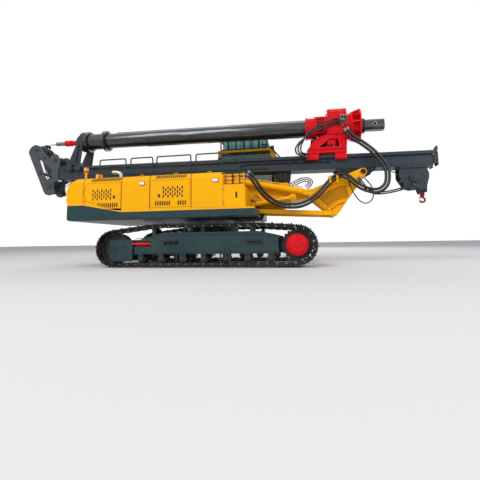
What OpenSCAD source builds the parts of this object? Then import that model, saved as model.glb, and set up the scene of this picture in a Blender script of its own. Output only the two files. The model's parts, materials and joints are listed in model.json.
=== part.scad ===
// Rotary piling rig on tracks, stored as it travels: mast lying flat over the
// body, rotary drive and kelly bar on top of the mast.
// Origin on the ground under the slew axis, +X to the front, +Z up, millimetres.

/* [Undercarriage] */
// Width over both tracks
tracks_w = 2600; // [2400:10:2800]
// Width of one track shoe
shoe_w = 600; // [450:10:650]
// Centre distance between idler and sprocket
wheel_base = 3851; // [3600:10:4100]
// How far the idler stands behind the slew axis
idler_back = 1860; // [1780:5:1900]
// Radius of the shoe plates round the idler
idler_plate_r = 374; // [340:1:390]
// Radius of the shoe plates round the sprocket
sprocket_plate_r = 391; // [350:1:400]
// Number of shoes on a track
shoe_count = 54; // [50:1:58]
// Height of a grouser over its shoe plate
grouser_h = 26; // [15:1:40]
// Thickness of chain and shoe plate together
band_t = 60; // [50:1:70]
// Width of a track frame
frame_w = 400; // [300:10:420]
// Height of the track frame's lower edge
frame_low = 270; // [262:1:290]
// Height of the track frame's top
frame_top = 716; // [690:1:722]
// Radius of a track roller
roller_r = 80; // [60:1:84]
// Number of track rollers on a side
roller_count = 7; // [5:1:7]
// Radius of the round cover over a travel drive
cover_r = 215; // [180:1:240]

/* [Upper body] */
// Width of the upper body
body_w = 2500; // [2360:10:2560]
// Height of the skirt's lower edge
skirt_low = 1007; // [990:1:1040]
// Height of the deck
deck_top = 1190; // [1160:1:1220]
// Height of the hood's top
hood_top = 1940; // [1800:5:1980]
// Distance of the rear end from the slew axis
tail_x = 3018; // [2900:1:3100]
// Thickness of the sheet metal of hood and doors
sheet_t = 25; // [15:1:35]
// Gap round a door
door_gap = 6; // [5:0.5:10]
// Bevel along the top edges of the hood
hood_bevel = 95; // [60:1:140]
// Height of the low valve box
valve_box_top = 1667; // [1500:1:1720]

/* [Cab] */
// Length of the cab
cab_len = 1800; // [1600:10:1850]
// Height of the cab without its guard
cab_h = 1600; // [1450:10:1650]
// Thickness of the cab's posts and walls
cab_wall = 50; // [35:1:60]
// Thickness of a window pane
pane_t = 6; // [4:1:10]

/* [Boom] */
// Length of boom and links along the ground
boom_reach = 1690; // [1600:5:1750]
// How much lower the boom's head lies than its foot
boom_drop = 90; // [60:1:120]
// Half the width of the boom
boom_half = 240; // [200:1:240]
// Thickness of the triangle's side plates
plate_t = 60; // [40:1:60]
// Radius of the main pins
pin_r = 45; // [35:1:55]
// Running clearance of a pin in its bore
pin_play = 0.3; // [0.2:0.1:0.5]
// Gap between parts that swing past each other
swing_gap = 10; // [6:1:12]
// Bore radius of a boom cylinder's barrel, outside
lift_barrel_r = 52; // [46:1:53]
// Radius of a mast cylinder's barrel, outside
fold_barrel_r = 72; // [60:1:72]
// Radius of every piston rod
rod_r = 36; // [28:1:40]

/* [Mast] */
// Slope of the mast as it lies, its head end higher
mast_tilt = 0.7; // [0:0.1:1]
// Length of the mast from the middle of its pivot bracket to the head end
mast_back = 7818; // [7500:1:8000]
// Length of the mast from the middle of its pivot bracket to the foot end
mast_front = 1320; // [1250:1:1400]
// Height of the mast's underside over its pivot
mast_low = 100; // [90:1:120]
// Depth of the mast box
mast_depth = 280; // [240:1:300]
// Half the width of the mast box
mast_half = 200; // [170:1:210]
// Wall of the mast box
mast_wall = 12; // [8:1:16]
// Width of a guide rail
rail_w = 60; // [45:1:70]
// Height of a guide rail
rail_h = 70; // [55:1:80]
// Height of the kelly bar's axis over the rails
kelly_over_rails = 700; // [680:1:740]

/* [Kelly bar] */
// Outer radius of the outer tube
kelly_r = 188; // [175:1:192]
// Height of the driving keys on the outer tube
key_h = 20; // [12:1:24]
// Wall of a kelly tube
kelly_wall = 22; // [16:1:26]
// Play between two tubes
kelly_play = 5; // [5:0.5:7]
// Length of the outer tube
kelly_len = 6330; // [6200:10:6360]
// Across the flats of the square stub
stub_w = 240; // [200:5:250]
// Radius of the pin hole through the stub
stub_hole_r = 30; // [20:1:40]

/* [Rotary drive] */
// Radius of the bore for the kelly bar
drive_bore_r = 216; // [214:0.5:220]
// Outer radius of the drive sleeve
sleeve_r = 246; // [242:1:250]
// Radius of the casing flange
flange_r = 400; // [360:5:420]
// Radius of the casing flange's bolt circle
flange_pcr = 355; // [330:1:365]
// Number of bolts on the casing flange
flange_bolts = 12; // [8:2:16]
// Radius of the lifting eye's hole
eye_r = 16; // [10:1:20]

/* [Ropes] */
// Outer radius of the sheave at the top of the head
front_sheave_r = 160; // [130:1:165]
// Outer radius of the sheave at the bottom of the head
rear_sheave_r = 190; // [160:1:195]
// Radius of the winch drum
drum_r = 175; // [140:1:190]
// Radius of the winch flange
winch_flange_r = 232; // [215:1:234]

/* [Hidden] */

$fn = 48;
seat = 0.3;
track_y = (tracks_w - shoe_w) / 2;
idler_at = [-idler_back, idler_plate_r + grouser_h];
sprocket_at = [wheel_base - idler_back, sprocket_plate_r + grouser_h + 16];
frame_y0 = track_y - frame_w / 2;
frame_y1 = track_y + frame_w / 2;
frame_x0 = idler_at[0] + 459;
frame_x1 = sprocket_at[0] - 363;
bottom_in = grouser_h + band_t;
ring_top = skirt_low - 7;
body_half = body_w / 2;
hood_x1 = -137;
tank_x1 = 533;
valve_x1 = 994;
front_x = 1180;
skirt_line = [[-2604, deck_top + 225], [-2100, deck_top + 60], [-1700, deck_top + 15], [front_x, deck_top + 15]];
rear_door = [-2604, -1689];
front_door = [-1058, -137];
door_high = hood_top - hood_bevel - 25;
cab_x = 20;
cab_z = deck_top + 60;

// Pivots in the side view, [x, z]
boom_foot = [620, 1640];
boom_head = boom_foot + [boom_reach, -boom_drop];
link_foot = boom_foot + [500, -460];
link_head = link_foot + [boom_reach, -boom_drop];
lift_foot = boom_foot + [400, -310];
lift_head = boom_foot + [1295, -175];
mast_pivot = boom_head + [1130, 430];
fold_foot = boom_head;
saddle_x = [-2160, -1780];
saddle_half = 130;
saddle_low = -155;
girder_y = [boom_half + 20, boom_half + 70];
tri_y = [boom_half + 30, boom_half + 30 + plate_t];
side_y = [tri_y[1] + swing_gap, tri_y[1] + swing_gap + 55];
lift_y = (side_y[0] + side_y[1]) / 2;
ear_y = [boom_half + 20, lift_y - fold_barrel_r - swing_gap];
bay_half = lift_y + fold_barrel_r + swing_gap;
cab_y = bay_half + 20;
cab_w = body_half - cab_y;

// The mast is drawn in its own frame, whose origin lies in front of its pivot
mast_origin = mast_pivot + [230, 0];
function from_mast(p) = mast_origin + [
  p[0] * cos(mast_tilt) + p[1] * sin(mast_tilt), p[1] * cos(mast_tilt) - p[0] * sin(mast_tilt)];
function to_mast(p) = let (d = p - mast_origin) [
  d[0] * cos(mast_tilt) - d[1] * sin(mast_tilt), d[0] * sin(mast_tilt) + d[1] * cos(mast_tilt)];
pivot_at = to_mast(mast_pivot);
fold_head = [-3700, 10];
fold_eye = from_mast(fold_head);
mast_high = mast_low + mast_depth;
rail_low = mast_high - 30;
rail_high = rail_low + rail_h;
rail_out = mast_half + rail_w;
kelly_z = rail_high + kelly_over_rails;
guide_gap = 5;
hose_r = 30;
hose_step = 80;
shoe_t = 35;

function unit(v) = v / norm(v);
function arc2(c, r, a0, a1, n) = [for (i = [0:n]) c + r * [cos(a0 + (a1 - a0) * i / n), sin(a0 + (a1 - a0) * i / n)]];

// A flat plate of a side-view outline, between two y values
module plate(y0, y1) {
  translate([0, y1, 0]) rotate([90, 0, 0]) linear_extrude(y1 - y0) children();
}

// The same thing on both sides of the machine
module both_sides() {
  children();
  mirror([0, 1, 0]) children();
}

module block(lo, hi) {
  translate(lo) cube(hi - lo);
}

module bar_y(at, r, y0, y1) {
  translate([at[0], y1, at[1]]) rotate([90, 0, 0]) cylinder(r = r, h = y1 - y0);
}

module bar_x(at, r, x0, x1) {
  translate([x0, at[0], at[1]]) rotate([0, 90, 0]) cylinder(r = r, h = x1 - x0);
}

// A side-view bar with round ends of two radii
module link2d(p, q, rp, rq) {
  d = q - p;
  a = atan2(d[1], d[0]);
  b = acos((rp - rq) / norm(d));
  translate(p) circle(rp);
  translate(q) circle(rq);
  polygon([
    p + rp * [cos(a + b), sin(a + b)], p + rp * [cos(a - b), sin(a - b)],
    q + rq * [cos(a - b), sin(a - b)], q + rq * [cos(a + b), sin(a + b)]
  ]);
}

module on_mast() {
  translate([mast_origin[0], 0, mast_origin[1]]) rotate([0, mast_tilt, 0]) children();
}

// Line of the shoe plates, counter-clockwise in the side view
roller_x0 = frame_x0 + 130;
roller_x1 = frame_x1 - 160;
carrier_x = [idler_at[0] + 870, idler_at[0] + 1940, idler_at[0] + 2960];
carrier_z = frame_top + 8;
carrier_r = 48;
carrier_seat = 2;
top_run = carrier_z + 2 * carrier_r + band_t + carrier_seat;
plate_line = concat(
  [[roller_x1 + 100, grouser_h]],
  arc2(sprocket_at, sprocket_plate_r, -88, 90, 30),
  [for (i = [2:-1:0]) [carrier_x[i], top_run]],
  arc2(idler_at, idler_plate_r, 92, 270, 30)
);
plate_steps = [for (i = [0:len(plate_line) - 1]) norm(plate_line[(i + 1) % len(plate_line)] - plate_line[i])];
plate_sums = [for (i = 0, s = 0; i < len(plate_steps); s = s + plate_steps[i], i = i + 1) s];
plate_total = plate_sums[len(plate_sums) - 1] + plate_steps[len(plate_steps) - 1];

function wrap(s) = s - floor(s / plate_total) * plate_total;
function on_line(s) =
  let (w = wrap(s), k = len([for (c = plate_sums) if (c <= w) 1]) - 1, t = (w - plate_sums[k]) / plate_steps[k])
  plate_line[k] * (1 - t) + plate_line[(k + 1) % len(plate_line)] * t;
function off_line(s, h) =
  let (t = unit(on_line(s + 8) - on_line(s - 8)))
  on_line(s) + h * [t[1], -t[0]];

// One shoe along the line: share of the pitch, height over the plate
shoe_form = [[0, -12], [0.05, 0], [0.3, 0], [0.34, grouser_h], [0.46, grouser_h], [0.5, 0], [0.95, 0]];

module track(side) {
  pitch = plate_total / shoe_count;
  outline = [for (i = [0:shoe_count - 1], f = shoe_form) off_line((i + f[0]) * pitch, f[1])];
  inside = [for (i = [0:3 * shoe_count - 1]) off_line(i * pitch / 3, -band_t)];
  color("#17181a") translate([0, side * track_y, 0]) plate(-shoe_w / 2, shoe_w / 2)
    difference() {
      polygon(outline);
      polygon(inside);
    }
}

module car_body() {
  beam_x = 430;
  beam_half = 190;
  color("#20353a") {
    block([-650, -520, 420], [650, 520, 750]);
    for (s = [-1, 1]) {
      block([s * beam_x - beam_half, -frame_y0, 470], [s * beam_x + beam_half, frame_y0, 700]);
    }
    translate([0, 0, 750]) cylinder(r = 610, h = 160, $fn = 64);
  }
}

module slew_ring() {
  color("#2a2c2e") difference() {
    translate([0, 0, 910]) cylinder(r = 590, h = ring_top - 910, $fn = 64);
    translate([0, 0, 909]) cylinder(r = 500, h = ring_top, $fn = 64);
  }
}

module frame_outline() {
  polygon([
    [frame_x0, frame_low], [frame_x0, frame_top - 170], [frame_x0 + 640, frame_top],
    [frame_x1 - 380, frame_top], [frame_x1, frame_top - 83], [frame_x1, frame_low]
  ]);
}

rod_z = idler_at[1] + 90;
module track_frames() {
  color("#20353a") both_sides() {
    difference() {
      plate(frame_y0, frame_y1) frame_outline();
      block([frame_x0 - 1, frame_y1 - 70, rod_z - 55], [frame_x0 + 361, frame_y1 + 1, rod_z + 55]);
    }
    block([frame_x1 - 150, frame_y0, sprocket_at[1] - 160], [sprocket_at[0], frame_y0 + 50, sprocket_at[1] + 160]);
    bar_y(sprocket_at, 190, frame_y0, frame_y0 + 110);
  }
}

module rollers() {
  low_z = bottom_in + seat + roller_r;
  color("#1d2326") both_sides() {
    for (i = [0:roller_count - 1]) {
      x = roller_x0 + i * (roller_x1 - roller_x0) / (roller_count - 1);
      bar_y([x, low_z], roller_r, track_y - 130, track_y + 130);
      bar_y([x, low_z], 30, frame_y0 + 20, frame_y1 - 20);
      for (y = [frame_y0 + 20, frame_y1 - 50]) {
        block([x - 55, y, low_z - 30], [x + 55, y + 30, frame_low]);
      }
    }
    for (x = carrier_x) {
      bar_y([x, carrier_z + carrier_r], carrier_r, track_y - 90, track_y + 90);
      bar_y([x, carrier_z + carrier_r], 22, track_y - 150, track_y + 150);
      for (y = [track_y - 150, track_y + 120]) difference() {
        block([x - 40, y, frame_top - 90], [x + 40, y + 30, carrier_z + carrier_r + 30]);
        plate(frame_y0, frame_y1) frame_outline();
      }
    }
  }
}

module idlers() {
  tread_r = idler_plate_r - band_t - 3;
  color("#2b2f31") both_sides() {
    bar_y(idler_at, tread_r, track_y - 70, track_y + 70);
    bar_y(idler_at, tread_r - 60, track_y - 95, track_y + 95);
  }
}

module idler_yokes() {
  yoke_x0 = idler_at[0] - 107;
  yoke_x1 = frame_x0 - 53;
  color("#20353a") both_sides() {
    for (y = [frame_y0 + 10, frame_y1 - 90]) {
      plate(y, y + 80) polygon([
        [yoke_x0, 180], [yoke_x0 + 50, 126], [yoke_x1 - 30, 126], [yoke_x1, 170],
        [yoke_x1, 576], [yoke_x0, 576]
      ]);
    }
    block([yoke_x1 - 60, frame_y0 + 90, 330], [yoke_x1, frame_y1 - 90, 470]);
    difference() {
      bar_y(idler_at, 60, frame_y0 + 89, track_y - 95);
      bar_y(idler_at, 20, frame_y0 + 80, track_y - 90);
    }
    difference() {
      bar_y(idler_at, 60, track_y + 95, frame_y1 - 89);
      bar_y(idler_at, 20, track_y + 90, frame_y1 - 80);
    }
  }
}

module tension_rods() {
  color("#c01818") both_sides() {
    bar_x([frame_y1 - 35, rod_z], 28, frame_x0 - 53, frame_x0 + 361);
    bar_x([frame_y1 - 35, rod_z], 34, frame_x0 + 40, frame_x0 + 300);
  }
}

module sprockets() {
  tooth_r = sprocket_plate_r - band_t - 4;
  teeth = 21;
  color("#2b2f31") both_sides() {
    plate(track_y - 30, track_y + 30) translate(sprocket_at) polygon([
      for (i = [0:teeth - 1], f = [[0, tooth_r], [0.3, tooth_r], [0.5, tooth_r - 30], [0.8, tooth_r - 30]])
      f[1] * [cos((i + f[0]) * 360 / teeth), sin((i + f[0]) * 360 / teeth)]
    ]);
    bar_y(sprocket_at, 205, frame_y0 + 110, track_y + 60);
  }
}

module drive_covers() {
  color("#e0101c") both_sides() {
    bar_y(sprocket_at, cover_r, track_y + 60, track_y + 215);
    bar_y(sprocket_at, cover_r - 28, track_y + 215, track_y + 240);
  }
}

module upper_frame() {
  girder = [
    [boom_foot[0] - 330, deck_top], [boom_foot[0] - 110, boom_foot[1] + 60], [boom_foot[0] - 60, boom_foot[1] + 110],
    [boom_foot[0] + 60, boom_foot[1] + 110], [boom_foot[0] + 130, boom_foot[1] + 20],
    lift_foot + [70, 60], lift_foot + [90, -60], link_foot + [80, 60], link_foot + [80, -90], [link_foot[0] + 20, skirt_low],
    [boom_foot[0] - 330, skirt_low]
  ];
  skirt = concat([[-2604, skirt_low], [front_x, skirt_low + 30]], [for (i = [len(skirt_line) - 1:-1:0]) skirt_line[i]]);
  color("#20353a") {
    block([-2604, -body_half + 39, skirt_low], [boom_foot[0] - 100, body_half - 39, deck_top]);
    block([hood_x1 + 1, -girder_y[1], deck_top - 1], [boom_foot[0] - 330, -girder_y[0], deck_top + 150]);
    block([hood_x1 + 1, girder_y[0], deck_top - 1], [boom_foot[0] - 330, girder_y[1], deck_top + 150]);
    both_sides() {
      block([boom_foot[0] - 101, side_y[1] + 15, skirt_low + 40], [front_x, body_half - 39, deck_top]);
      plate(body_half - 40, body_half) polygon(skirt);
      difference() {
        plate(girder_y[0], girder_y[1]) polygon(girder);
        bar_y(boom_foot, pin_r + pin_play, 0, body_half);
      }
      block([boom_foot[0] - 101, girder_y[1] - 1, skirt_low + 40], [link_foot[0] - 90, side_y[1] + 16, deck_top - 40]);
      bar_y(lift_foot, pin_r - 8, girder_y[1] - 1, side_y[1] + 12);
      bar_y(link_foot, pin_r - 8, girder_y[1] - 1, side_y[1] + 12);
    }
    difference() {
      translate([0, 0, ring_top - 60]) cylinder(r = 500 - seat, h = skirt_low - ring_top + 61, $fn = 64);
      translate([0, 0, ring_top - 61]) cylinder(r = 400, h = skirt_low - ring_top + 61, $fn = 64);
    }
  }
}

module counterweight() {
  color("#20353a") intersection() {
    plate(-body_half, body_half) polygon([
      [-tail_x + 90, skirt_low], [-2604.5, skirt_low], [-2604.5, deck_top + 225], [-tail_x, deck_top + 225],
      [-tail_x, skirt_low + 90], [-tail_x + 26, skirt_low + 26]
    ]);
    translate([0, 0, skirt_low]) linear_extrude(500) polygon([
      [-2604.5, -body_half], [-2604.5, body_half], [-tail_x + 30, body_half], [-tail_x, body_half - 30],
      [-tail_x, -body_half + 30], [-tail_x + 30, -body_half]
    ]);
  }
}

// Outer or inner side view of the hood; t is how far the skin is drawn in
module hood_side(t) {
  polygon([
    [-tail_x + t, deck_top + 225.5 + t], [-tail_x + t, hood_top - 260 - t / 2], [-tail_x + 45 + t, hood_top - 150 - t / 2],
    [-tail_x + 120 + t / 2, hood_top - 60 - t], [-tail_x + 230 + t / 2, hood_top - t],
    [hood_x1 - t, hood_top - t], [hood_x1 - t, deck_top + 0.5 - t], [-2563 + t, deck_top + 0.5 - t],
    [-2563 + t, deck_top + 225.5 + t]
  ]);
}

// Cross-section with bevelled top edges
module bevelled(y0, y1, t, x0, x1) {
  translate([x0, 0, 0]) rotate([90, 0, 90]) linear_extrude(x1 - x0) polygon([
    [y0 + t, deck_top], [y0 + t, hood_top - hood_bevel], [y0 + hood_bevel - 35 + t / 2, hood_top - t],
    [y1 - hood_bevel + 35 - t / 2, hood_top - t], [y1 - t, hood_top - hood_bevel], [y1 - t, deck_top]
  ]);
}

// Outline of a side door of the hood, drawn in by g
door_border = 20;
function skirt_top(x) = lookup(x, skirt_line);
module door_outline(d, g) {
  x0 = d[0] + door_border + g;
  x1 = d[1] - door_border - g;
  inner = [for (p = skirt_line) if (p[0] > x0 && p[0] < x1) p[0]];
  polygon(concat(
    [for (x = concat([x0], inner, [x1])) [x, skirt_top(x) + 35 + g]],
    [[x1, door_high - g], [x0, door_high - g]]
  ));
}

// A door's hinge: the pin with two lugs on the frame, and the eye on the door
hinge_y = body_half + 14;
hinge_r = 11;
hinge_pin_r = 6;
eye_h = 40;
leaf_l = 22;
rear_hinge_x = rear_door[0] + door_border + door_gap / 2;
front_hinge_x = front_door[1] - door_border - door_gap / 2;
hood_hinge_z = [deck_top + 300, door_high - 90];
module hinge_pin(x, y, z, towards) {
  translate([x, y, z - eye_h / 2 - 20]) cylinder(r = hinge_pin_r, h = eye_h + 40);
  for (z0 = [z - eye_h / 2 - 20, z + eye_h / 2 + 1]) {
    translate([x, y, z0]) cylinder(r = hinge_r, h = 19);
    leaf(x, y, z0, 19, towards);
  }
}

module hinge_eye(x, y, z, towards) {
  difference() {
    union() {
      translate([x, y, z - eye_h / 2]) cylinder(r = hinge_r, h = eye_h);
      leaf(x, y, z - eye_h / 2, eye_h, towards);
    }
    translate([x, y, z - eye_h]) cylinder(r = hinge_pin_r + pin_play, h = 2 * eye_h);
  }
}

// The flat leaf from a hinge's barrel over the sheet beside it
module leaf(x, y, z, h, towards) {
  side = sign(y);
  block(
    [min(x + towards * 4, x + towards * leaf_l), min(side * body_half - side * 0.5, y + side * 4), z],
    [max(x + towards * 4, x + towards * leaf_l), max(side * body_half - side * 0.5, y + side * 4), z + h]
  );
}

module engine_hood() {
  color("#ffb400") {
    for (z = hood_hinge_z) {
      hinge_pin(rear_hinge_x, -hinge_y, z, -1);
      hinge_pin(front_hinge_x, -hinge_y, z, 1);
    }
  }
  color("#ffb400") difference() {
    intersection() {
      plate(-body_half, body_half) hood_side(0);
      bevelled(-body_half, body_half, 0, -tail_x, hood_x1);
    }
    intersection() {
      plate(-body_half, body_half) hood_side(sheet_t);
      bevelled(-body_half, body_half, sheet_t, -tail_x, hood_x1);
    }
    for (d = [rear_door, front_door]) {
      plate(-body_half - 1, -body_half + sheet_t + 1) door_outline(d, 0);
    }
    both_sides() block([-2562, body_half - 41, deck_top - 1], [-1700, body_half + 1, deck_top + 62]);
    both_sides() block([-1701, body_half - 41, deck_top - 1], [hood_x1 + 1, body_half + 1, deck_top + 15.5]);
    both_sides() plate(body_half - 41, body_half + 1) polygon([
      [-2604, deck_top + 225.5], [-2604, deck_top], [-2098, deck_top], [-2098, deck_top + 60.5]
    ]);
  }
}

module hood_door(d, hinge_x, towards) {
  color("#ffb400") {
    plate(-body_half, -body_half + sheet_t) door_outline(d, door_gap);
    for (z = hood_hinge_z) {
      hinge_eye(hinge_x, -hinge_y, z, towards);
    }
  }
}

module hood_door_rear() {
  hood_door(rear_door, rear_hinge_x, 1);
}

module hood_door_front() {
  hood_door(front_door, front_hinge_x, -1);
}

module engine() {
  color("#55585a") block([-2300, -420, deck_top], [-1000, 420, hood_top - 160]);
}

module side_tank() {
  color("#ffb400") difference() {
    bevelled(-body_half, -bay_half, 0, hood_x1 + 0.5, tank_x1);
    block([hood_x1, -body_half - 1, deck_top - 1], [tank_x1 + 1, -body_half + 41, deck_top + 15.5]);
  }
}

module valve_box() {
  color("#ffb400") {
    block([tank_x1 + 0.5, -body_half + 40.5, deck_top + 0.5], [valve_x1, -bay_half, valve_box_top]);
    block([tank_x1 + 0.5, -body_half, deck_top + 15.5], [valve_x1, -body_half + 41, valve_box_top]);
  }
}

// Side view of the cab, drawn in by t
module cab_side(t) {
  polygon([
    [cab_x + t, cab_z + t], [cab_x + t, cab_z + cab_h - t], [cab_x + cab_len - 420 - t / 2, cab_z + cab_h - t],
    [cab_x + cab_len - t, cab_z + 980], [cab_x + cab_len - t, cab_z + 240 + t / 2], [cab_x + cab_len - 160 - t / 2, cab_z + t]
  ]);
}

door_x = [cab_x + 520, cab_x + 1420];
module door_side(t) {
  polygon([
    [door_x[0] + t, cab_z + 90 + t], [door_x[0] + t, cab_z + cab_h - 90 - t],
    [door_x[1] - 130 - t / 2, cab_z + cab_h - 90 - t], [door_x[1] - t, cab_z + 1150 - t / 2], [door_x[1] - t, cab_z + 90 + t]
  ]);
}

// Window openings in the side view: rear quarter, far side
module quarter_window(t) {
  polygon([
    [cab_x + 90 + t, cab_z + 760 + t], [cab_x + 90 + t, cab_z + cab_h - 110 - t],
    [cab_x + 440 - t, cab_z + cab_h - 110 - t], [cab_x + 440 - t, cab_z + 760 + t]
  ]);
}

module inner_window(t) {
  polygon([
    [cab_x + 90 + t, cab_z + 620 + t], [cab_x + 90 + t, cab_z + cab_h - 110 - t],
    [cab_x + 1320 - t / 2, cab_z + cab_h - 110 - t], [cab_x + 1640 - t, cab_z + 1000], [cab_x + 1640 - t, cab_z + 620 + t]
  ]);
}

module front_band(t) {
  y0 = cab_y + 70 + t;
  y1 = body_half - 70 - t;
  block([cab_x + cab_len - 460, y0, cab_z + 560 + t], [cab_x + cab_len + 1, y1, cab_z + 960 - t]);
}

// The sloping windscreen lies along the front edge of the side view
screen_low = [cab_x + cab_len, cab_z + 980];
screen_high = [cab_x + cab_len - 420, cab_z + cab_h];
screen_dir = unit(screen_high - screen_low);
screen_in = [-screen_dir[1], screen_dir[0]];
module screen(t, depth) {
  y0 = cab_y + 70 + t;
  y1 = body_half - 70 - t;
  a = screen_low + (60 + t) * screen_dir;
  b = screen_high - (90 + t) * screen_dir;
  plate(y0, y1) polygon([a, b, b + depth * screen_in, a + depth * screen_in]);
}

module cab_shell() {
  color("#ffb400") for (z = cab_hinge_z) {
    hinge_pin(cab_hinge_x, hinge_y, z, -1);
  }
  color("#ffb400") difference() {
    plate(cab_y, body_half) cab_side(0);
    plate(cab_y + cab_wall, body_half - cab_wall) cab_side(cab_wall);
    plate(body_half - cab_wall - 1, body_half + 1) door_side(0);
    plate(body_half - cab_wall - 1, body_half + 1) quarter_window(0);
    plate(cab_y - 1, cab_y + cab_wall + 1) inner_window(0);
    block([cab_x - 1, cab_y + 90, cab_z + 760], [cab_x + cab_wall + 1, body_half - 90, cab_z + cab_h - 110]);
    block([cab_x + cab_len - cab_wall - 20, cab_y + 70, cab_z + 480], [cab_x + cab_len + 1, body_half - 70, cab_z + 920]);
    translate([20 * screen_in[0] * -1, 0, 20 * screen_in[1] * -1]) screen(0, 100);
    block([cab_x + 350, cab_y + 110, cab_z + cab_h - cab_wall - 1], [cab_x + 1050, body_half - 110, cab_z + cab_h + 1]);
  }
  color("#20353a") for (x = [cab_x + 120, cab_x + cab_len - 420], y = [cab_y + 90, body_half - 190]) {
    block([x, y, deck_top], [x + 100, y + 100, cab_z + 1]);
  }
}

cab_hinge_x = door_x[0] + door_gap / 2;
cab_hinge_z = [cab_z + 300, cab_z + cab_h - 260];
module cab_door() {
  y0 = body_half - cab_wall;
  color("#ffb400") for (z = cab_hinge_z) {
    hinge_eye(cab_hinge_x, hinge_y, z, 1);
  }
  color("#ffb400") difference() {
    plate(y0, body_half) door_side(door_gap);
    plate(y0 - 1, body_half + 1) polygon([
      [door_x[0] + 80, cab_z + 640], [door_x[0] + 80, cab_z + cab_h - 180],
      [door_x[1] - 190, cab_z + cab_h - 180], [door_x[1] - 80, cab_z + 1110], [door_x[1] - 80, cab_z + 640]
    ]);
  }
  color("#86b8b4") plate(body_half - 30, body_half - 30 + pane_t) polygon([
    [door_x[0] + 79, cab_z + 639], [door_x[0] + 79, cab_z + cab_h - 179],
    [door_x[1] - 189, cab_z + cab_h - 179], [door_x[1] - 79, cab_z + 1110], [door_x[1] - 79, cab_z + 639]
  ]);
}

module cab_glass() {
  color("#86b8b4") {
    plate(body_half - 30, body_half - 30 + pane_t) quarter_window(seat);
    plate(cab_y + 22, cab_y + 22 + pane_t) inner_window(seat);
    block([cab_x + 22, cab_y + 90 + seat, cab_z + 760 + seat], [cab_x + 22 + pane_t, body_half - 90 - seat, cab_z + cab_h - 110 - seat]);
    block([cab_x + cab_len - 30, cab_y + 70 + seat, cab_z + 480 + seat], [cab_x + cab_len - 30 + pane_t, body_half - 70 - seat, cab_z + 920 - seat]);
    translate([20 * screen_in[0], 0, 20 * screen_in[1]]) screen(seat, pane_t);
    block([cab_x + 350 + seat, cab_y + 110 + seat, cab_z + cab_h - 30], [cab_x + 1050 - seat, body_half - 110 - seat, cab_z + cab_h - 30 + pane_t]);
  }
}

module cab_seat() {
  floor_z = cab_z + cab_wall;
  mid_y = cab_y + cab_w / 2;
  color("#232527") {
    block([cab_x + 380, mid_y - 150, floor_z], [cab_x + 760, mid_y + 150, floor_z + 300]);
    block([cab_x + 340, mid_y - 240, floor_z + 300], [cab_x + 860, mid_y + 240, floor_z + 420]);
    plate(mid_y - 230, mid_y + 230) polygon([
      [cab_x + 340, floor_z + 400], [cab_x + 480, floor_z + 400], [cab_x + 400, floor_z + 1050], [cab_x + 290, floor_z + 1050]
    ]);
    block([cab_x + 500, mid_y - 330, floor_z + 299], [cab_x + 900, mid_y - 250, floor_z + 560]);
    block([cab_x + 500, mid_y + 250, floor_z + 299], [cab_x + 900, mid_y + 330, floor_z + 560]);
    block([cab_x + 500, mid_y - 251, floor_z + 299], [cab_x + 700, mid_y + 251, floor_z + 340]);
  }
}

guard_x = [cab_x + 60, cab_x + 1290];
guard_top = cab_z + cab_h + 300;
module roof_guard() {
  y0 = cab_y + 15;
  y1 = body_half - 20;
  z0 = cab_z + cab_h;
  color("#24403f") {
    for (z = [z0, guard_top - 40], y = [y0, y1 - 40]) {
      block([guard_x[0], y, z], [guard_x[1], y + 40, z + 40]);
    }
    for (z = [z0, guard_top - 40], x = [guard_x[0], guard_x[1] - 40]) {
      block([x, y0, z], [x + 40, y1, z + 40]);
    }
    for (i = [0:6], y = [y0, y1 - 30]) {
      x = guard_x[0] + i * (guard_x[1] - guard_x[0] - 30) / 6;
      block([x, y, z0], [x + 30, y + 30, guard_top]);
    }
    for (i = [1:5]) {
      y = y0 + i * (y1 - y0 - 20) / 6;
      block([guard_x[0], y, guard_top - 30], [guard_x[1], y + 20, guard_top - 10]);
      block([guard_x[1] - 20, y, z0], [guard_x[1], y + 20, guard_top]);
    }
  }
}

rail_spans = [[-2281, -1660], [-1540, -1032], [-936, -175]];
tank_rail_span = [-60, 495];
module handrail(s, y) {
  top = hood_top + 430;
  for (x = s) {
    translate([x, y, hood_top]) cylinder(r = 16, h = top - hood_top);
  }
  bar_x([y, top - 16], 15.9, s[0], s[1]);
  bar_x([y, top - 220], 12, s[0], s[1]);
}

module handrails() {
  y = body_half - 90;
  color("#24403f") {
    both_sides() for (s = rail_spans) {
      handrail(s, y);
    }
    handrail(tank_rail_span, -y);
  }
}

module beacon() {
  color("#ff8a1c") {
    translate([-2665, -body_half + 160, hood_top]) cylinder(r = 26, h = 170);
    translate([-2665, -body_half + 160, hood_top + 169]) cylinder(r1 = 62, r2 = 48, h = 120);
  }
}

module exhaust() {
  color("#a9adb0") {
    translate([-2030, -700, hood_top]) cylinder(r = 75, h = 130);
    translate([-2030, -700, hood_top + 128]) rotate([0, -70, 0]) cylinder(r = 70, h = 220);
  }
}

pipe_y = -body_half + 150;
pipe_z = hood_top - 55;
module hard_pipes() {
  color("#ffb400") {
    for (i = [0:2]) {
      bar_x([pipe_y, pipe_z - i * hose_step], 24, tank_x1, valve_x1 - 20);
    }
    block([valve_x1 - 60, pipe_y - 40, valve_box_top], [valve_x1 - 30, pipe_y + 40, pipe_z + 30]);
  }
}

module mast_rest() {
  under = to_mast([-2260, 0])[0];
  top = from_mast([under, mast_low])[1] - 6;
  color("#20353a") {
    block([-2480, -220, hood_top], [-2200, 220, hood_top + 30]);
    for (y = [-170, 130]) {
      block([-2420, y, hood_top + 29], [-2260, y + 40, top - 25]);
    }
    block([-2420, -200, top - 26], [-2260, 200, top]);
  }
}

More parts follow.
